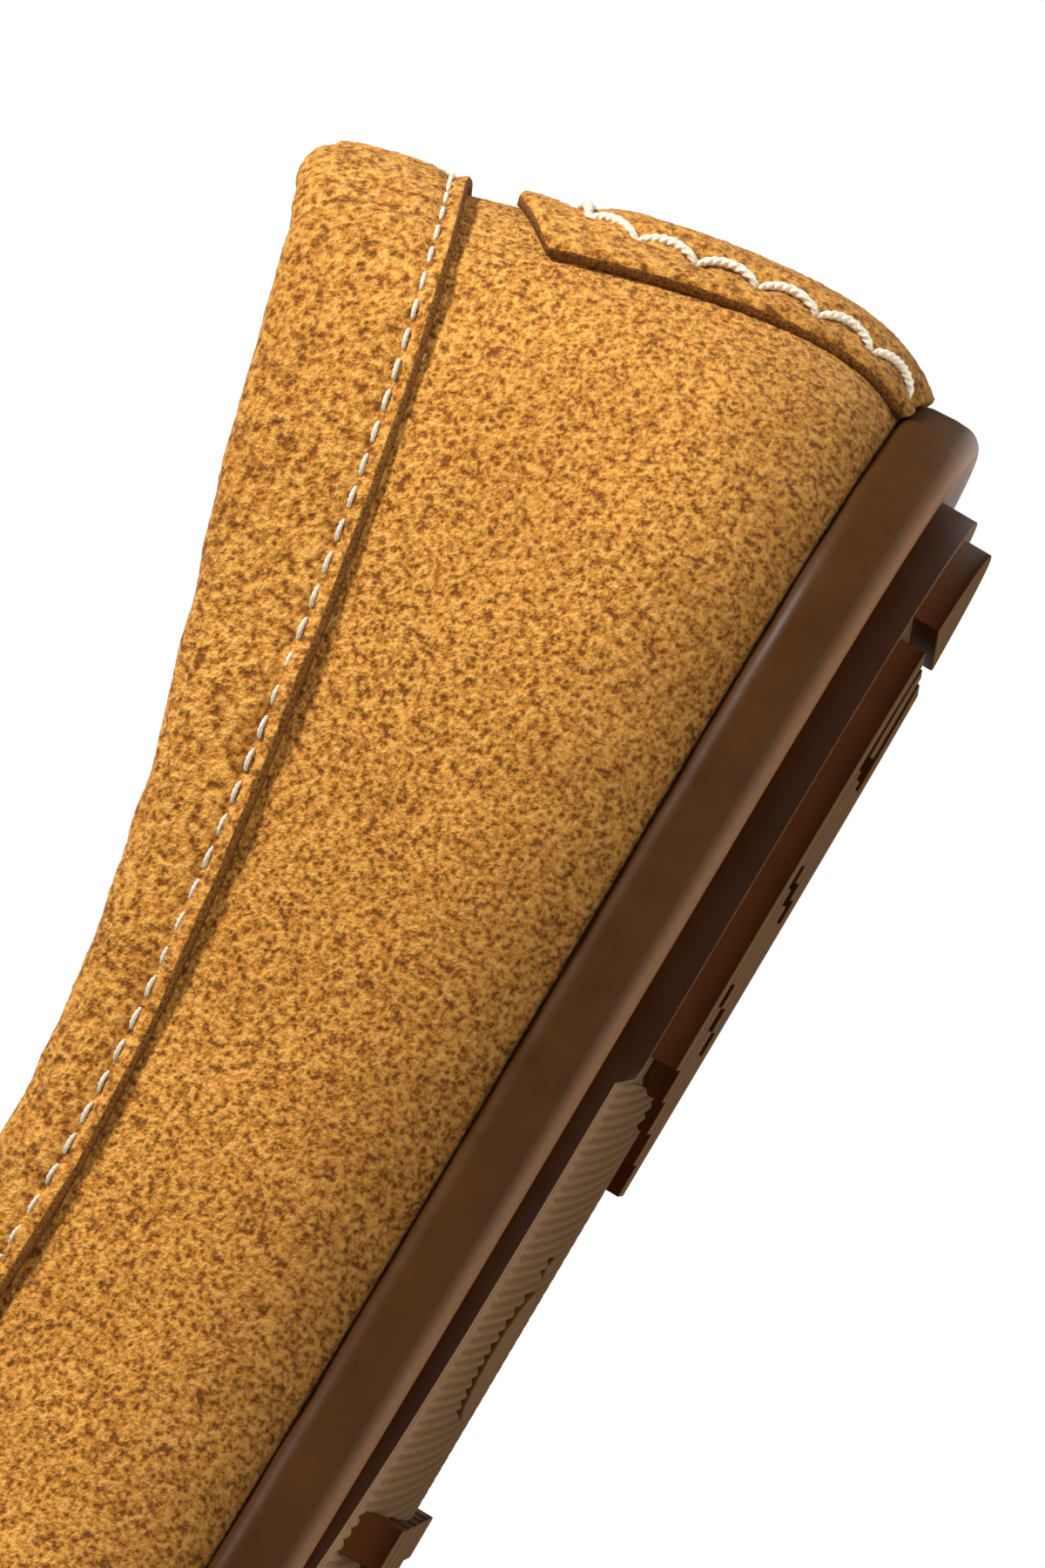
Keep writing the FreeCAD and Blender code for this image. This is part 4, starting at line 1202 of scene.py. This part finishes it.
def dress_inside():
    lining = textile_material("lining_textile")
    dress("quarter_lining", lining)
    dress("vamp_lining", lining)
    dress("sock_lining", leather_material("sock_pigskin", (0.4, 0.23, 0.11), (0.58, 0.38, 0.2)))
    foam = foam_material("pale_foam", (0.4, 0.34, 0.22), (0.75, 0.68, 0.5))
    board = foam_material("fibre_board", (0.22, 0.15, 0.08), (0.5, 0.38, 0.24))
    for node in ("footbed", "heel_cushion", "collar_padding", "bottom_filler"):
        dress(node, foam)
    for node in ("insole_board", "heel_counter", "toe_puff"):
        dress(node, board)


# ---- Camera, light and floor ----

CAMERA_AZIMUTH = 90.5
CAMERA_ELEVATION = -3.2
CAMERA_ROLL = -59.4
CAMERA_DISTANCE = 1.4
CAMERA_TARGET = (0.0, 0.0689, 0.0274)
FRAME_HEIGHT = 0.1492
WORLD_LIGHT = 0.08


def add_camera():
    """Camera at the side of the heel, nearly level with the sole and rolled about its own axis."""
    azimuth = math.radians(CAMERA_AZIMUTH)
    elevation = math.radians(CAMERA_ELEVATION)
    back = Vector((math.sin(azimuth) * math.cos(elevation), -math.cos(azimuth) * math.cos(elevation),
                   math.sin(elevation)))
    right = Vector((0, 0, 1)).cross(back).normalized()
    up = back.cross(right)
    roll = math.radians(CAMERA_ROLL)
    rolled_right = right * math.cos(roll) + up * math.sin(roll)
    rolled_up = up * math.cos(roll) - right * math.sin(roll)
    data = bpy.data.cameras.new("camera")
    data.sensor_fit = "VERTICAL"
    data.sensor_height = 36.0
    data.lens = data.sensor_height * CAMERA_DISTANCE / FRAME_HEIGHT
    data.clip_start = 0.01
    camera = bpy.data.objects.new("camera", data)
    turn = Matrix((rolled_right, rolled_up, back)).transposed().to_4x4()
    camera.matrix_world = Matrix.Translation(Vector(CAMERA_TARGET) + back * CAMERA_DISTANCE) @ turn
    bpy.context.scene.collection.objects.link(camera)
    bpy.context.scene.camera = camera
    return rolled_right, rolled_up, back


def add_light(name, place, target, power, size):
    data = bpy.data.lights.new(name, "AREA")
    data.energy = power
    data.shape = "DISK"
    data.size = size
    lamp = bpy.data.objects.new(name, data)
    lamp.location = place
    lamp.rotation_euler = (Vector(target) - Vector(place)).to_track_quat("-Z", "Y").to_euler()
    lamp.visible_camera = False
    bpy.context.scene.collection.objects.link(lamp)


def add_world():
    """White studio: bright where the camera sees it, softer as a light."""
    world = bpy.data.worlds.new("studio")
    world.use_nodes = True
    tree = world.node_tree
    tree.nodes.clear()
    seen = tree.nodes.new("ShaderNodeBackground")
    seen.inputs["Color"].default_value = (1, 1, 1, 1)
    seen.inputs["Strength"].default_value = 1.0
    soft = tree.nodes.new("ShaderNodeBackground")
    soft.inputs["Color"].default_value = (1, 0.98, 0.96, 1)
    soft.inputs["Strength"].default_value = WORLD_LIGHT
    rays = tree.nodes.new("ShaderNodeLightPath")
    mix = tree.nodes.new("ShaderNodeMixShader")
    out = tree.nodes.new("ShaderNodeOutputWorld")
    tree.links.new(rays.outputs["Is Camera Ray"], mix.inputs[0])
    tree.links.new(soft.outputs[0], mix.inputs[1])
    tree.links.new(seen.outputs[0], mix.inputs[2])
    tree.links.new(mix.outputs[0], out.inputs[0])
    bpy.context.scene.world = world


FLOOR_GLOW = 0.8
FLOOR_EVENNESS = 0.6
FLOOR_HALF = 3.0


def add_floor():
    """Pale floor, evened out for the camera, seen from above only, and throwing no shadow on the shoe."""
    n = Nodes("floor_paint")
    speck = n.noise(30.0, 3.0)
    n.finish(n.ramp(speck, (0.3, (0.86, 0.86, 0.86)), (0.7, (0.9, 0.9, 0.89))), 0.6)
    clear = n.add("ShaderNodeBsdfTransparent")
    mix = n.add("ShaderNodeMixShader")
    side = n.add("ShaderNodeNewGeometry")
    rays = n.add("ShaderNodeLightPath")
    hidden = n.maths("MAXIMUM", side.outputs["Backfacing"], rays.outputs["Is Shadow Ray"])
    glow = n.add("ShaderNodeEmission")
    glow.inputs["Strength"].default_value = FLOOR_GLOW
    pale = n.add("ShaderNodeMixShader")
    n.link(n.maths("MULTIPLY", rays.outputs["Is Camera Ray"], FLOOR_EVENNESS), pale.inputs[0])
    n.link(n.shader.outputs[0], pale.inputs[1])
    n.link(glow.outputs[0], pale.inputs[2])
    n.link(hidden, mix.inputs[0])
    n.link(pale.outputs[0], mix.inputs[1])
    n.link(clear.outputs[0], mix.inputs[2])
    n.link(mix.outputs[0], n.tree.nodes["Material Output"].inputs["Surface"])
    mesh = bpy.data.meshes.new("floor")
    corners = [(FLOOR_HALF * x, FLOOR_HALF * y, 0) for x, y in ((-1, -1), (1, -1), (1, 1), (-1, 1))]
    mesh.from_pydata(corners, [], [(0, 1, 2, 3)])
    mesh.materials.append(n.material)
    floor = bpy.data.objects.new("floor", mesh)
    bpy.context.scene.collection.objects.link(floor)


# Name; metres from the target to the view's right, up and towards the camera; watts; width in metres.
VIEW_LIGHTS = (
    ("key", -0.46, 0.62, 0.27, 10.0, 0.14),
    ("fill", -0.5, 0.3, 0.7, 0.22, 0.7),
)
# Name; place in metres; watts; width in metres.
ROOM_LIGHTS = (
    ("under", (0.16, 0.07, -0.7), 1.3, 0.4),
    ("far", (-0.9, 0.2, 0.9), 2.0, 0.8),
)


def add_studio(right, up, back):
    """Key from the upper left of the view, weaker fill, a low light for the tread and one on the far side."""
    centre = Vector(CAMERA_TARGET)
    for name, across, rise, near, power, size in VIEW_LIGHTS:
        add_light(name, centre + (right * across + up * rise + back * near), centre, power, size)
    for name, place, power, size in ROOM_LIGHTS:
        add_light(name, Vector(place), centre, power, size)
    bpy.context.scene.view_settings.view_transform = "Standard"


# ---- Build ----

def build():
    right, up, back = add_camera()
    add_world()
    add_floor()
    add_studio(right, up, back)
    suede = suede_material("suede")
    collar_suede = suede_material("collar_suede", grain=0.7, pebble=1.2, depth=1.4)
    edge = cut_edge_material("cut_edge")
    sidewall_gum = gum_material("sidewall_gum", (0.047, 0.0165, 0.0032), (0.066, 0.025, 0.0055),
                                (0.2, 0.1, 0.045), 0.42)
    tread_gum = gum_material("tread_gum", (0.11, 0.031, 0.0036), (0.15, 0.046, 0.006), GUM_WORN_AND_FLOOR_LIT, 0.4)
    # Darker gum for the tread base: painted shade for the recess between the sidewall and the lugs.
    painted_shade_gum = gum_material("painted_shade_gum", (0.036, 0.0095, 0.0012), (0.05, 0.015, 0.002),
                              GUM_WORN_AND_FLOOR_LIT, 0.4)
    thread = thread_material("cream_thread")
    fine_thread = thread_material("fine_thread", 0.85)
    textile = textile_material("tongue_weave")
    quarter_piece("quarter_outer", 0.0, OUTER_THROAT, 460, 150,
                  "quarter_lateral", suede)
    quarter_piece("quarter_inner", INNER_THROAT, float(COUNT), 300, 90,
                  "quarter_medial", suede)
    vamp_piece(suede)
    plug_piece(suede)
    collar_piece(collar_suede, edge)
    heel_tab_piece(collar_suede, edge)
    tongue_pieces(suede, textile)
    collar_thread(fine_thread)
    heel_tab_thread(thread)
    plug_thread(thread)
    side_seam_thread(fine_thread)
    sidewall_piece(sidewall_gum)
    # The tread base takes the darker gum of painted shade.
    tread_base(painted_shade_gum)
    lug_piece(tread_gum)
    arch_cords(tread_gum)
    arch_boss(tread_gum)
    dress_inside()


build()
